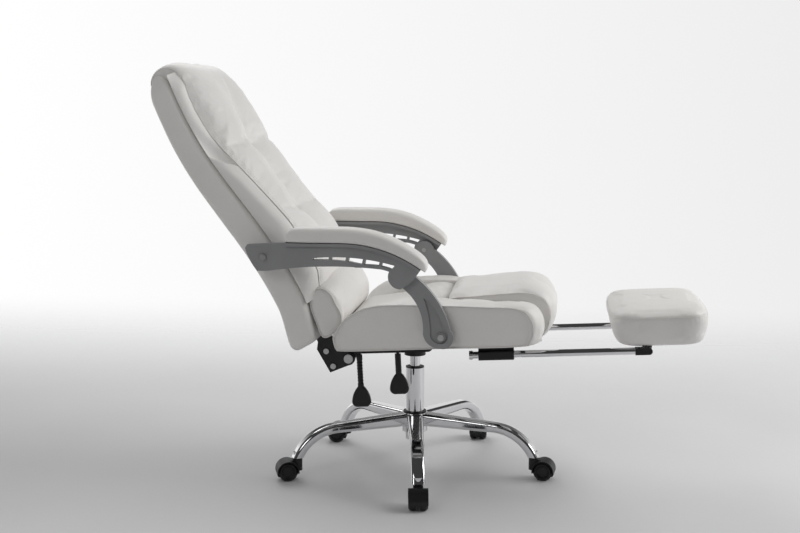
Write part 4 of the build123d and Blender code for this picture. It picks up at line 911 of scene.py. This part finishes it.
# %% Padding
PAD_ACROSS, PAD_WALL, PAD_ALONG = 96, 6, 150
PAD_LIFT = 0.9
CORE_SHARE, CORE_TURN = 0.9, 20.0
GATHER_DEPTH, GATHER_PITCH, GATHER_FROM, GATHER_SPAN = 2.6, 3.1, 805.0, 50.0
TUFT_HELD, CREASE_HELD_TO = 14.0, 740.0


def padding_grid():
    """Rings across the padding: out along the bed's line plus its normal times the thickness, from
    seam to seam, then straight down the side, back along the bed, and up the other side. Past the
    head's turn the sides reach in to the middle of the roll and close it."""
    s = np.linspace(PAD_FOOT, HEAD_END, PAD_ALONG)[:, None]
    down = np.linspace(1, 0, PAD_WALL + 2)[1:-1]
    inner = np.linspace(PAD_HALF, -PAD_HALF, PAD_ACROSS // 4)
    wall = np.full(PAD_WALL, PAD_HALF)
    y = np.concatenate([PAD_HALF * sine_spread(PAD_ACROSS), wall, inner, -wall])
    share = np.concatenate([np.ones(PAD_ACROSS), down, np.zeros(len(inner)), down[::-1]])
    x0, z0, nx, nz = over_head(s)
    core = CORE_SHARE * HEAD_RADIUS * smoothstep((s - HEAD_TURN) / CORE_TURN)
    thick = padding_thickness(y[None, :], s) * share - core * (1 - share) + PAD_LIFT
    gather = (GATHER_DEPTH * np.sin(s / GATHER_PITCH) * smoothstep((s - GATHER_FROM) / GATHER_SPAN)
              * (share * (1 - share) * 4))
    across = y * padding_squeeze(s) + np.sign(y) * gather
    return from_back(points(x0 + nx * thick, across, z0 + nz * thick)), y, share, s


grid, pad_y, pad_share, pad_s = padding_grid()
held = np.repeat(pad_share[None, :] < 0.999, PAD_ALONG, 0)
for tuft in TUFTS:
    held |= np.hypot(pad_y, pad_s - tuft) < TUFT_HELD
held[:2] = held[-2:] = True
held[:, [0, 1, PAD_ACROSS - 2, PAD_ACROSS - 1]] = True
held[pad_s[:, 0] < CREASE_HELD_TO, PAD_ACROSS // 2 - 1:PAD_ACROSS // 2 + 1] = True
padding = cushion("back_padding", grid, held, "back", "back_cushion",
                  pressure=2.2, cap=6.0, fill=0.75)
print("padding", len(padding.data.vertices), "points")

# %% [markdown]
# ## The side strips
# Between the side seam and the padding's stitched edge lies a stuffed strip. A fold runs down across
# it where the upper row of padding ends: above the fold the strip is pulled in, and below it swells
# at once, so it reads as two long lobes. It could be the edge of the padding, but a piece of its own
# keeps a sharp seam on both sides.

# %% Side strips
STRIP_ACROSS, STRIP_ALONG = 22, 260
STRIP_FOOT, STRIP_HEAD, STRIP_ENDS = 186.0, 862.0, 60.0
STRIP_TAPER, TAPER_FROM, TAPER_SPAN = 0.25, 820.0, 45.0
FOLD_HEIGHT, FOLD_FALL, FOLD_STEP = 630.0, 55.0, 5.0
SWELL_ABOVE, SWELL_BELOW, SWELL_FULL = -6.0, 6.0, 10.0
SWELL_ABOVE_SPAN, SWELL_BELOW_SPAN = 120.0, 60.0
STRIP_PUCKER, STRIP_GATHER = 0.8, 0.35
STRIP_INSET, STRIP_SUNK, STRIP_LAP = 1.0, 4.0, 0.2  # at the side seam, and at the padding
TUCK_INNER, TUCK_OUTER, TUCK_DEPTH = 2.5, 5.0, 5.0  # how far a ring goes in behind its seams


def strip_swell(p, z):
    """How far the strip stands out at p of its width from the side seam. The fold lies at
    z = 630 - 55p: above it the swell climbs from -6 to 6 mm, below it from 6 to 10, and the step
    between them is 5 mm long. It is multiplied by sin(pi p)^0.8 and falls to nothing at both ends.
    Long puckers follow the lower lobe, and gathers the side seam."""
    above = z - (FOLD_HEIGHT - FOLD_FALL * p)
    upper = SWELL_ABOVE + (SWELL_BELOW - SWELL_ABOVE) * smoothstep(above / SWELL_ABOVE_SPAN)
    lower = SWELL_BELOW + (SWELL_FULL - SWELL_BELOW) * smoothstep(-above / SWELL_BELOW_SPAN)
    swell = lower + (upper - lower) * smoothstep(above / FOLD_STEP + 0.5)
    ends = smoothstep((STRIP_HEAD - z) / STRIP_ENDS) * smoothstep((z - STRIP_FOOT) / STRIP_ENDS)
    puckers = STRIP_PUCKER * np.sin(10 * p + z / 55.0) * bell(z, 480.0, 110.0)
    gathers = STRIP_GATHER * np.sin(z / 3.6) * bell(p, 0.1, 0.12) * (bell(z, 800.0, 70.0) + 0.5)
    return (swell * ends + puckers + gathers) * np.sin(pi * np.clip(p, 0.0, 1.0)) ** 0.8


def side_strip(side):
    """Rings of p from the side seam to the padding's edge: the straight line between the two plus
    the swell times its outward normal. Each ring then goes back inside, behind that line."""
    p = np.linspace(0, 1, STRIP_ACROSS)[None, :]
    z = np.linspace(STRIP_FOOT, STRIP_HEAD, STRIP_ALONG)[:, None]
    taper = 1 - STRIP_TAPER * smoothstep((z - TAPER_FROM) / TAPER_SPAN)
    outer_y, outer_x = back_half(z) - STRIP_INSET, side_line(z) - STRIP_SUNK
    inner_y = back_half(z) - STRIP_WIDTH - STRIP_LAP
    inner_x = np.maximum(bed(z) + np.interp(z, EDGE_Z, EDGE_T) * taper, outer_x + 2.0)
    along_y, along_x = inner_y - outer_y, inner_x - outer_x
    swell = strip_swell(p, z) / np.hypot(along_y, along_x)
    y, x = outer_y + along_y * p + swell * along_x, outer_x + along_x * p - swell * along_y
    tuck_y = inner_y - TUCK_INNER
    ring_y = np.hstack([y, tuck_y, tuck_y, (inner_y + outer_y) / 2, outer_y - TUCK_OUTER])
    ring_x = np.hstack([x, np.maximum(inner_x - TUCK_DEPTH, outer_x + 0.6), outer_x + 0.3, outer_x,
                        outer_x - 0.3])
    return from_back(points(ring_x, side * ring_y, z))


for side, label in SIDES:
    strip = tube_piece(f"side_strip_{label}", side_strip(side), leather)
    dress(strip, "back", f"edge_bolster_{label}", fill=0.6)
print("each strip", len(strip.data.vertices), "points")

# %% [markdown]
# ## Seams of the back
# A thin welt runs up the padding's edge and arches over the head with it. Two rows of stitches run
# beside it. The seam between the band and the strip is a plain one and shows as a fine crease. The
# lines could be drawn by hand, but taken from the padding's own formula they never leave it.

# %% Back seams
SEAM_POINTS = 240
SEAM_FOOT, SEAM_HEAD = PAD_FOOT + 8, HEAD_END - 4
STITCH_ROWS = (4.0, 9.0)


def padding_edge(side, inward, lift):
    """The padding's sewn edge, a little inwards from it and lifted off it, with its outward
    direction."""
    s = np.linspace(SEAM_FOOT, SEAM_HEAD, SEAM_POINTS)
    x0, z0, nx, nz = over_head(s)
    thick = padding_thickness(PAD_HALF - inward, s) + PAD_LIFT + lift
    y = side * (PAD_HALF - inward) * padding_squeeze(s)
    edge = from_back(points(x0 + nx * thick, y, z0 + nz * thick))
    return edge, (from_back(points(nx, 0.15 * side, nz)) - BACK_ORIGIN) / MM


rows = []
for side, label in SIDES:
    edge_line = padding_edge(side, 0.0, 0.3)[0]
    dress(welt(f"padding_welt_{label}", edge_line, leather_welt, closed=False), "back")
    rows += [padding_edge(side, inward, 1.0) for inward in STITCH_ROWS]
dress(stitches("back_stitches", rows, 0.15), "back")
print("rows of stitches on the back", len(rows))

# %% [markdown]
# ## Rolls with end panels
# The lumbar roll, the seat's bolsters, the seat cushion and the thigh roll are all the same kind of
# cushion: a skin carried from side to side, closed by a panel at each end. The panel is set in from
# the welt and swells or sinks a little in the middle. Each could be modelled alone, but one function
# that takes side outlines serves for all.

# %% Stuffed rolls
PANEL_RINGS = (0.985, 0.955, 0.88, 0.70, 0.46, 0.22, 0.03)
PANEL_GROOVE = 0.03
ROLL_RING, ROLL_STATIONS = 110, 56


def panel_depth(k, sink, swell):
    """How far a panel stands out at k of its size: swell (1 - k^2), less sink in the groove."""
    return swell * (1 - k ** 2) - sink * bell(1 - k, PANEL_GROOVE, PANEL_GROOVE)


def panel_rings(ring, y, out, sink, swell):
    """Rings that close an end: each is the end ring scaled about its middle by k, at y plus out
    times the panel's depth."""
    k = np.array(PANEL_RINGS)[:, None]
    middle = ring.mean(0)
    flat = middle + (ring - middle)[None] * k[..., None]
    return flat, y + out * panel_depth(k, sink, swell) * np.ones((1, ring.shape[0]))


def stuffed_roll(rings, ys, sink, swell):
    """A grid of points (x, y, z) from side outlines at each y, closed by panels at both ends."""
    rings, ys = np.asarray(rings, float), np.asarray(ys, float)
    low, low_y = panel_rings(rings[0], ys[0], np.sign(ys[0] - ys[1]), sink[0], swell[0])
    high, high_y = panel_rings(rings[-1], ys[-1], np.sign(ys[-1] - ys[-2]), sink[1], swell[1])
    xz = np.concatenate([low[::-1], rings, high])
    y = np.concatenate([low_y[::-1], ys[:, None] * np.ones((1, rings.shape[1])), high_y])
    return points(xz[..., 0], y, xz[..., 1])


def held_ends(grid, low=1):
    """True on both end panels of a roll, on low rings beside the first and on one beside the last."""
    held = np.zeros(grid.shape[:2], bool)
    held[:len(PANEL_RINGS) + low] = held[-len(PANEL_RINGS) - 1:] = True
    return held


print("panel rings", len(PANEL_RINGS))

# %% [markdown]
# ## The lumbar roll
# A full roll across the small of the back, flat D-shaped at its ends. When the back comes upright
# the roll meets the seat. The point and the way in which its foam would give, up the back instead of
# into the seat, are worked out below, but nothing here moves the roll by them.
# A thinner roll would need no give, but the reclined chair would then show a gap below it.

# %% Lumbar roll
LUMBAR_HALF = 216.0
LUMBAR_END = (
    (-6.0, 92.0), (-2.0, 130.0), (6.0, 172.0), (22.0, 204.0), (52.0, 202.0), (67.0, 177.0),
    (66.0, 148.0), (64.0, 116.0), (46.0, 92.0), (14.0, 84.0))
LUMBAR_MIDDLE = (
    (2.0, 93.0), (0.0, 140.0), (8.0, 190.0), (30.0, 226.0), (70.0, 229.0), (98.0, 208.0),
    (108.0, 172.0), (101.0, 136.0), (76.0, 108.0), (38.0, 93.0))
SQUEEZE_FROM = np.array((20.0, 0.0, 229.0))  # the roll's upper rear, which stays
SQUEEZE_WAY = np.array((-707.0, 0.0, 707.0))  # up the back and into it
LUMBAR_FOLD, LUMBAR_FOLD_PITCH, LUMBAR_FOLD_REACH = 1.2, 13.0, 60.0
LUMBAR_SIZE = 90.0  # about half way round, which a fold is a share of
LUMBAR_HELD = 3.0  # the skin is stapled down this near to the bed


def lumbar_grid():
    """Between the D of the end panel and the full middle, each outline is a mix: the share of the
    middle is (1 - |y/half|^3.2)^0.8, so the roll is full across the back and drops quickly to its
    ends. Near the ends the outlines grow and shrink by a sine of y, which makes shallow folds."""
    y = LUMBAR_HALF * sine_spread(ROLL_STATIONS)
    share = (1 - np.abs(y / LUMBAR_HALF) ** 3.2) ** 0.8
    end, middle = (curve_through(stops, ROLL_RING) for stops in (LUMBAR_END, LUMBAR_MIDDLE))
    rings = end[None] + (middle - end)[None] * share[:, None, None]
    folds = LUMBAR_FOLD * np.sin(y / LUMBAR_FOLD_PITCH)
    folds = folds * bell(np.abs(y), LUMBAR_HALF, LUMBAR_FOLD_REACH)
    rings = rings + (rings - rings.mean(1, keepdims=True)) * folds[:, None, None] / LUMBAR_SIZE
    return stuffed_roll(rings, y, sink=(4.0, 4.0), swell=(1.0, 1.0)), end


grid, lumbar_end = lumbar_grid()
held = held_ends(grid) | (grid[..., 0] < bed(grid[..., 2]) + LUMBAR_HELD)
lumbar_pieces = [cushion("lumbar_roll", from_back(grid), held, "back", "lumbar_cushion",
                         pressure=2.0, cap=5.0, fill=0.8)]
for side, label in SIDES:
    ring = from_back(points(lumbar_end[:, 0], side * (LUMBAR_HALF + 0.4), lumbar_end[:, 1]))
    lumbar_pieces.append(dress(welt(f"lumbar_welt_{label}", ring, leather_welt), "back"))

squeeze_way = tuple(float(v) for v in from_back(SQUEEZE_WAY) - BACK_ORIGIN)
squeeze_from = tuple(float(v) for v in from_back(SQUEEZE_FROM))
for piece in lumbar_pieces:
    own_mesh(piece)
print("pieces of the lumbar roll", len(lumbar_pieces))

# %% [markdown]
# ## The seat's bolsters
# Two long bolsters hold the sitter in. Each is drawn from the side: full at its outer panel, and
# drawn in and started later towards the middle of the seat. Two rows of stitches follow its panel.
# A bevelled box would be too even, so a few outlines across it are joined by a smooth curve.

# %% Seat bolsters
SEAT_REAR, SEAT_FRONT = -184.0, 352.0
BOLSTER_INNER, BOLSTER_OUTER = 166.8, 257.6
BOLSTER_TOP, BOLSTER_EASE = 118.0, 62.0
BOLSTER_SHARES = (0.0, 0.05, 0.16, 0.42, 0.74, 0.93, 1.0)
BOLSTER_INSETS = (26.0, 15.0, 4.0, 0.0, 7.0, 18.0, 27.0)
BOLSTER_EASES = (1.0, 1.0, 1.0, 0.85, 0.4, 0.08, 0.0)
BOLSTER_STATIONS = 30
BOLSTER_SINK, BOLSTER_SWELL = 2.4, -5.0
BOLSTER_HELD = 6.0  # the skin is stapled down this near to the seat board


def between(shares, values, count):
    """Smooth stations from a few: the values at count even places, by a curve through them."""
    table = curve_through(np.column_stack([shares, values]), count * 3, closed=False)
    table = table[np.argsort(table[:, 0])]
    want = np.linspace(shares[0], shares[-1], count)
    return want, at_length(want, table[:, 0], table[:, 1:])


def bolster_ring(inset, ease):
    """Side outline of a bolster, drawn in by inset, with its crest started later by ease."""
    rear, front = SEAT_REAR + 0.3 * inset, SEAT_FRONT - inset
    top = BOLSTER_TOP - 0.25 * inset
    crest = rear + 112 + ease
    return curve_through((
        (rear + 26, 0.8), ((rear + front) / 2, 0.8), (front - 34, 0.8), (front - 8, top * 0.12),
        (front, top * 0.42), (front - 13, top * 0.72), (front - 44, top * 0.86),
        (front - 120, top * 0.91), ((crest + front) / 2 - 20, top * 0.965), (crest, top * 1.01),
        (rear + 36 + 0.55 * ease, top * 0.76 - 0.35 * ease), (rear + 2, top * 0.36),
        (rear + 2, top * 0.10)), ROLL_RING)


def bolster_grid(side):
    """Outlines at even places from the inner edge to the side panel, by the insets and eases."""
    shape = np.column_stack([BOLSTER_INSETS, BOLSTER_EASES])
    share, shape = between(BOLSTER_SHARES, shape, BOLSTER_STATIONS)
    rings = [bolster_ring(inset, BOLSTER_EASE * ease) for inset, ease in shape]
    y = side * (BOLSTER_INNER + (BOLSTER_OUTER - BOLSTER_INNER) * share)
    return stuffed_roll(rings, y, (0.0, BOLSTER_SINK), (-1.5, BOLSTER_SWELL)), rings[-1]


def panel_row(edge, side, reach):
    """A line round the side panel at reach of its size, above the seat board, and its outward
    direction."""
    high = edge[:, 1] > 4.0
    start = int(np.argmax(~high & np.roll(high, -1))) + 1
    keep = np.roll(np.arange(ROLL_RING), -start)[:int(high.sum())]
    inside = edge.mean(0) + (edge - edge.mean(0)) * reach
    y = side * (BOLSTER_OUTER + panel_depth(reach, BOLSTER_SINK, BOLSTER_SWELL) + 0.3)
    row = from_seat(points(inside[:, 0], y, inside[:, 1]))[keep]
    return row, np.tile([0.0, float(side), 0.0], (len(row), 1))


seat_rows = []
for side, label in SIDES:
    grid, edge = bolster_grid(side)
    held = held_ends(grid, low=2) | (grid[..., 2] < BOLSTER_HELD)
    cushion(f"seat_bolster_pad_{label}", from_seat(grid), held, "seat", f"seat_bolster_{label}",
            pressure=1.6, cap=3.5, fill=0.75)
    ring = from_seat(points(edge[:, 0], side * (BOLSTER_OUTER + 0.2), edge[:, 1]))
    dress(welt(f"bolster_welt_{label}", ring, leather_welt), "seat")
    seat_rows += [panel_row(edge, side, reach) for reach in PANEL_RINGS[:2]]
dress(stitches("seat_stitches", seat_rows, 0.1), "seat")
print("rows of stitches on the seat", len(seat_rows))

# %% [markdown]
# ## The seat cushion
# Between the bolsters the seat cushion is low under the lumbar roll and rises to a seam in front.
# It droops a little towards both bolsters, where it is sewn down. It could be one piece with them,
# but a seam only looks right where two skins meet.

# %% Seat cushion
CENTRE_HALF, CENTRE_TOP = 165.6, 117.0
CENTRE_SAG, CENTRE_EDGE_DROP = 3.0, 20.0
CENTRE_HELD = 8.0  # as for the bolsters
ROLL_REAR = 106.0


def centre_ring(droop):
    """Side outline of the seat cushion, from under the lumbar roll to the thigh roll's seam."""
    top = CENTRE_TOP - droop
    return curve_through((
        (SEAT_REAR + 26, 0.8), (-30, 0.8), (ROLL_REAR - 6, 0.8), (ROLL_REAR - 1.2, 20),
        (ROLL_REAR - 1.2, top - 22), (ROLL_REAR - 12, top - 5), (ROLL_REAR - 60, top - 3),
        (ROLL_REAR - 122, top - 22), (SEAT_REAR + 100, top * 0.72), (SEAT_REAR + 48, top * 0.65),
        (SEAT_REAR + 18, 52), (SEAT_REAR + 8, 26), (SEAT_REAR + 12, 6)), ROLL_RING)


share = sine_spread(ROLL_STATIONS)
droops = CENTRE_SAG * share ** 2 + CENTRE_EDGE_DROP * np.abs(share) ** 12
rings = [centre_ring(droop) for droop in droops]
grid = stuffed_roll(rings, CENTRE_HALF * share, sink=(0, 0), swell=(-1, -1))
held = held_ends(grid) | (grid[..., 2] < CENTRE_HELD) | (grid[..., 0] > ROLL_REAR - 4)
seat_pad = cushion("seat_pad", from_seat(grid), held, "seat", "seat_cushion",
                   pressure=1.6, cap=4.0, fill=0.7)
print("seat cushion", len(seat_pad.data.vertices), "points")

# %% [markdown]
# ## The thigh roll
# A waterfall front: the roll rises ahead of the seat cushion, hangs over the seat's front edge and
# turns in under it. A welt edges the panel at each end. A bent cylinder would come close, but a drawn
# outline gives the flat top and the steep front.

# %% Thigh roll
THIGH_FRONT, THIGH_TOP, THIGH_BOTTOM = 383.0, 136.0, 342.0
THIGH_BOW, THIGH_EDGE_DROP = 2.5, 13.0


def thigh_ring(inset):
    """Side outline of the thigh roll, drawn in by inset."""
    front, top = THIGH_FRONT - inset, THIGH_TOP - inset
    return curve_through((
        (ROLL_REAR + 4, 0.8), (220, 0.8), (THIGH_BOTTOM - inset * 0.5 - 10, 0.8),
        (front - 14, top * 0.17), (front - 2, top * 0.42), (front - 3, top * 0.66),
        (front - 20, top * 0.88), (front - 58, top * 0.995), (front - 120, top * 0.99),
        (front - 200, top * 0.955), (ROLL_REAR + 22, top * 0.94), (ROLL_REAR + 3, top * 0.84),
        (ROLL_REAR + 1, 30)), ROLL_RING)


insets = THIGH_BOW * np.abs(share) ** 2 + THIGH_EDGE_DROP * np.abs(share) ** 10
rings = [thigh_ring(inset) for inset in insets]
grid = stuffed_roll(rings, CENTRE_HALF * share, sink=(2.5, 2.5), swell=(0.0, 0.0))
held = held_ends(grid) | (grid[..., 2] < BOLSTER_HELD) | (grid[..., 0] < ROLL_REAR + 6)
thigh = cushion("thigh_pad", from_seat(grid), held, "seat", "thigh_roll",
                pressure=2.0, cap=5.0, fill=0.8)
for side, label in SIDES:
    ring = from_seat(points(rings[0][:, 0], side * (CENTRE_HALF - 0.6), rings[0][:, 1]))
    dress(welt(f"thigh_welt_{label}", ring, leather_welt), "seat")
print("thigh roll", len(thigh.data.vertices), "points")

# %% [markdown]
# ## The footrest
# A boxed pad: a band goes round it, a little smaller at the foot, and a crowned top panel is sewn to
# the band all round. Seen from above its outline is a rectangle with soft corners. A rounded box
# would do for the band, but one list of rows also gives the pinch at the seam and the crown.

# %% Footrest pad
FOOT_REAR, FOOT_FRONT = 519.0, 764.0
FOOT_MIDDLE, FOOT_LONG = (FOOT_FRONT + FOOT_REAR) / 2, (FOOT_FRONT - FOOT_REAR) / 2
FOOT_BOTTOM, FOOT_SEAM = -20.0, 52.0
FOOT_HALF = 205.0
FOOT_SQUARENESS = 5.5
FOOT_RING, FOOT_ROWS = 132, 90
FOOT_GATHERS, FOOT_GATHER_DEPTH = 46, 0.5
FOOT_WELT = 0.9
FOOT_BASE_HELD, FOOT_SEAM_HELD, FOOT_POLE_HELD = 5.0, 2.2, 0.12
FOOT_STOPS = (  # height, inset, share of the ring's size
    (-20.0, 22.0, 0.04), (-20.0, 22.0, 0.50), (-20.0, 22.0, 0.93), (-19.5, 20.0, 1.0),
    (-14.0, 13.0, 1.0), (-4.0, 8.5, 1.0), (12.0, 4.5, 1.0), (30.0, 1.2, 1.0), (44.0, 0.0, 1.0),
    (50.0, 1.0, 1.0), (52.0, 2.6, 1.0), (54.0, 1.6, 1.0), (60.0, 2.5, 0.985), (65.5, 3.0, 0.94),
    (69.5, 3.0, 0.84), (72.0, 3.0, 0.66), (73.3, 3.0, 0.42), (74.0, 3.0, 0.20), (74.2, 3.0, 0.02))


def foot_pad_grid(z, inset, share):
    """At height z the ring is a superellipse of exponent 5.5, x = mid + a c|c|^(2/5.5 - 1) and
    y = b s|s|^(2/5.5 - 1), whose half length and half width are drawn in by the inset and then
    multiplied by the share. Shallow gathers run under the seam."""
    u = circle(FOOT_RING)[None, :]
    z, inset, share = z[:, None], inset[:, None], share[:, None]
    gathers = FOOT_GATHER_DEPTH * np.sin(u * FOOT_GATHERS) * bell(z, FOOT_SEAM - 9, 7.0)
    half_x = (FOOT_LONG - inset) * share + gathers
    half_y = (FOOT_HALF - inset) * share + gathers
    return points(FOOT_MIDDLE + half_x * rounded(np.cos(u), FOOT_SQUARENESS),
                  half_y * rounded(np.sin(u), FOOT_SQUARENESS), z)


def foot_seam(z, out):
    """A closed line round the pad at one height, moved outwards, with its outward direction."""
    inset = np.interp(z, foot_z, foot_inset)
    line = foot_pad_grid(np.array([z]), np.array([inset - out]), np.ones(1))[0]
    line = np.vstack([line, line[:1]])
    return from_seat(line), unit(line - np.array([FOOT_MIDDLE, 0.0, z]))


stops = np.array(FOOT_STOPS) * (1.0, 1.0, FOOT_LONG)
foot_z, foot_inset, foot_share = curve_through(stops, FOOT_ROWS, closed=False).T
foot_share = foot_share / FOOT_LONG
grid = foot_pad_grid(foot_z, foot_inset, foot_share)
held = np.abs(grid[..., 2] - FOOT_SEAM) < FOOT_SEAM_HELD
held |= grid[..., 2] < FOOT_BOTTOM + FOOT_BASE_HELD
held |= (foot_share < FOOT_POLE_HELD)[:, None]
cushion("foot_pad", from_seat(grid), held, "footrest_pad", "footrest_cushion", "footrest_board",
        pressure=1.0, cap=2.0, fill=0.75)
ring = foot_seam(FOOT_SEAM, 0.2)[0][:-1]
dress(welt("foot_welt", ring, leather_welt, radius=FOOT_WELT), "footrest_pad")
foot_rows = [foot_seam(FOOT_SEAM + 4, 0.4), foot_seam(FOOT_SEAM - 4, 0.4)]
dress(stitches("foot_stitches", foot_rows, 0.1), "footrest_pad")
print("footrest pad", 2 * FOOT_LONG, "by", 2 * FOOT_HALF, "mm")

# %% [markdown]
# ## Arm pads
# Each arm pad is a soft bar on the beam's carrier. It runs level, then follows the carrier's bend
# down over the knuckle, rounded at both ends. A straight bar bent by a modifier would do, but carried
# along the carrier's own line the pad sits on it everywhere.

# %% Arm pads
ARM_Y = 288.0
ARM_PAD_WIDTH, ARM_PAD_THICKNESS, ARM_PAD_LIFT = 62.0, 40.0, 0.4
ARM_PAD_STATIONS, ARM_PAD_RING = 90, 60
ARM_PAD_SQUARENESS = (4.0, 40 / 9)  # across and up
ARM_PAD_PAST = 12.0
CARRIER_LEVEL = 652.0
CARRIER_REAR_X, CARRIER_FLAT_X = -292.0, -150.0
CARRIER_TIP_X, CARRIER_TIP_Z = 46.0, 590.0


def carrier_line(count, past):
    """The carrier's top: a level run, then the arc that leaves it smoothly and ends at the tip, and
    a little past it. Gives the points, the upward normals and the share of the length."""
    run, drop = CARRIER_TIP_X - CARRIER_FLAT_X, CARRIER_LEVEL - CARRIER_TIP_Z
    radius = (run ** 2 + drop ** 2) / (2 * drop)
    bend = np.arcsin(run / radius) * radius + past
    flat = CARRIER_FLAT_X - CARRIER_REAR_X
    s = (flat + bend) * 0.5 * (1 - np.cos(np.linspace(0, pi, count)))[:, None]
    a = np.maximum(s - flat, 0) / radius
    x = np.where(s < flat, CARRIER_REAR_X + s, CARRIER_FLAT_X + radius * np.sin(a))
    z = np.where(s < flat, CARRIER_LEVEL, CARRIER_LEVEL - radius + radius * np.cos(a))
    return x, z, np.sin(a), np.cos(a), s / (flat + bend)


def arm_pad_grid(side):
    """Across the pad the ring is y = w/2 c|c|^(-0.5), and its height is t (0.5 + 0.5 s|s|^(-0.55)),
    crowned by 1 - 0.1 (2y/w)^2. Both shrink to the ends as (1 - |2q - 1|^14)^0.5 with q from 0 to 1
    along the pad, and the height falls by 22 % towards the tip."""
    x, z, nx, nz, q = carrier_line(ARM_PAD_STATIONS, ARM_PAD_PAST)
    a = circle(ARM_PAD_RING)[None, :]
    y = 0.5 * ARM_PAD_WIDTH * rounded(np.cos(a), ARM_PAD_SQUARENESS[0])
    lift = 0.5 + 0.5 * rounded(np.sin(a), ARM_PAD_SQUARENESS[1])
    end = np.maximum(1 - np.abs(2 * q - 1) ** 14, 1e-5) ** 0.5
    front = 1 - 0.22 * smoothstep((q - 0.55) / 0.45)
    crown = 1 - 0.10 * (2 * y / ARM_PAD_WIDTH) ** 2
    up_by = ARM_PAD_LIFT + ARM_PAD_THICKNESS * front * end * (lift * crown)
    across = ARM_Y + y * (0.35 + 0.65 * end)
    return MM * points(x + nx * up_by, side * across, z + nz * up_by)


for side, label in SIDES:
    pad = tube_piece(f"arm_rest_{label}", arm_pad_grid(side), leather)
    dress(pad, f"arm_beam_{label}", f"arm_pad_{label}", fill=0.8)
print("each arm pad", len(pad.data.vertices), "points")

# %% [markdown]
# ## The beams' lower chords
# Each arm's beam is a moulded truss. Its lower chord is one bar that runs on under the last window
# and into the knuckle. It could be cut with the truss. Here it is a rounded rectangle carried along
# the chord's middle line, laid over the solid where that stops short of the knuckle.

# %% Lower chords
CHORD_STOPS = ((-118.0, 597.2), (-90.0, 597.0), (-60.0, 595.2), (-38.0, 590.5), (-24.0, 585.5))
CHORD_Y, CHORD_HALF_WIDTH, CHORD_HALF_HEIGHT = 295.6, 8.6, 4.4
CHORD_SQUARENESS = 8.0
CHORD_STATIONS, CHORD_RING = 40, 32


def chord_bar(side):
    """At each point of the line the ring is a superellipse of exponent 8 across y and the line's
    upward normal."""
    line = curve_through(CHORD_STOPS, CHORD_STATIONS, closed=False)
    ahead = unit(np.gradient(line, axis=0))
    a = circle(CHORD_RING)[None, :]
    out = CHORD_HALF_WIDTH * rounded(np.cos(a), CHORD_SQUARENESS)
    up = CHORD_HALF_HEIGHT * rounded(np.sin(a), CHORD_SQUARENESS)
    x, z = line[:, :1] - ahead[:, 1:] * up, line[:, 1:] + ahead[:, :1] * up
    return MM * points(x, side * (CHORD_Y + out), z)


for side, label in SIDES:
    chord = tube_piece(f"beam_chord_{label}", chord_bar(side), slot_finish["grey_plastic"])
    dress(chord, f"arm_beam_{label}", slot="grey_plastic")
print("each chord", len(chord.data.vertices), "points")
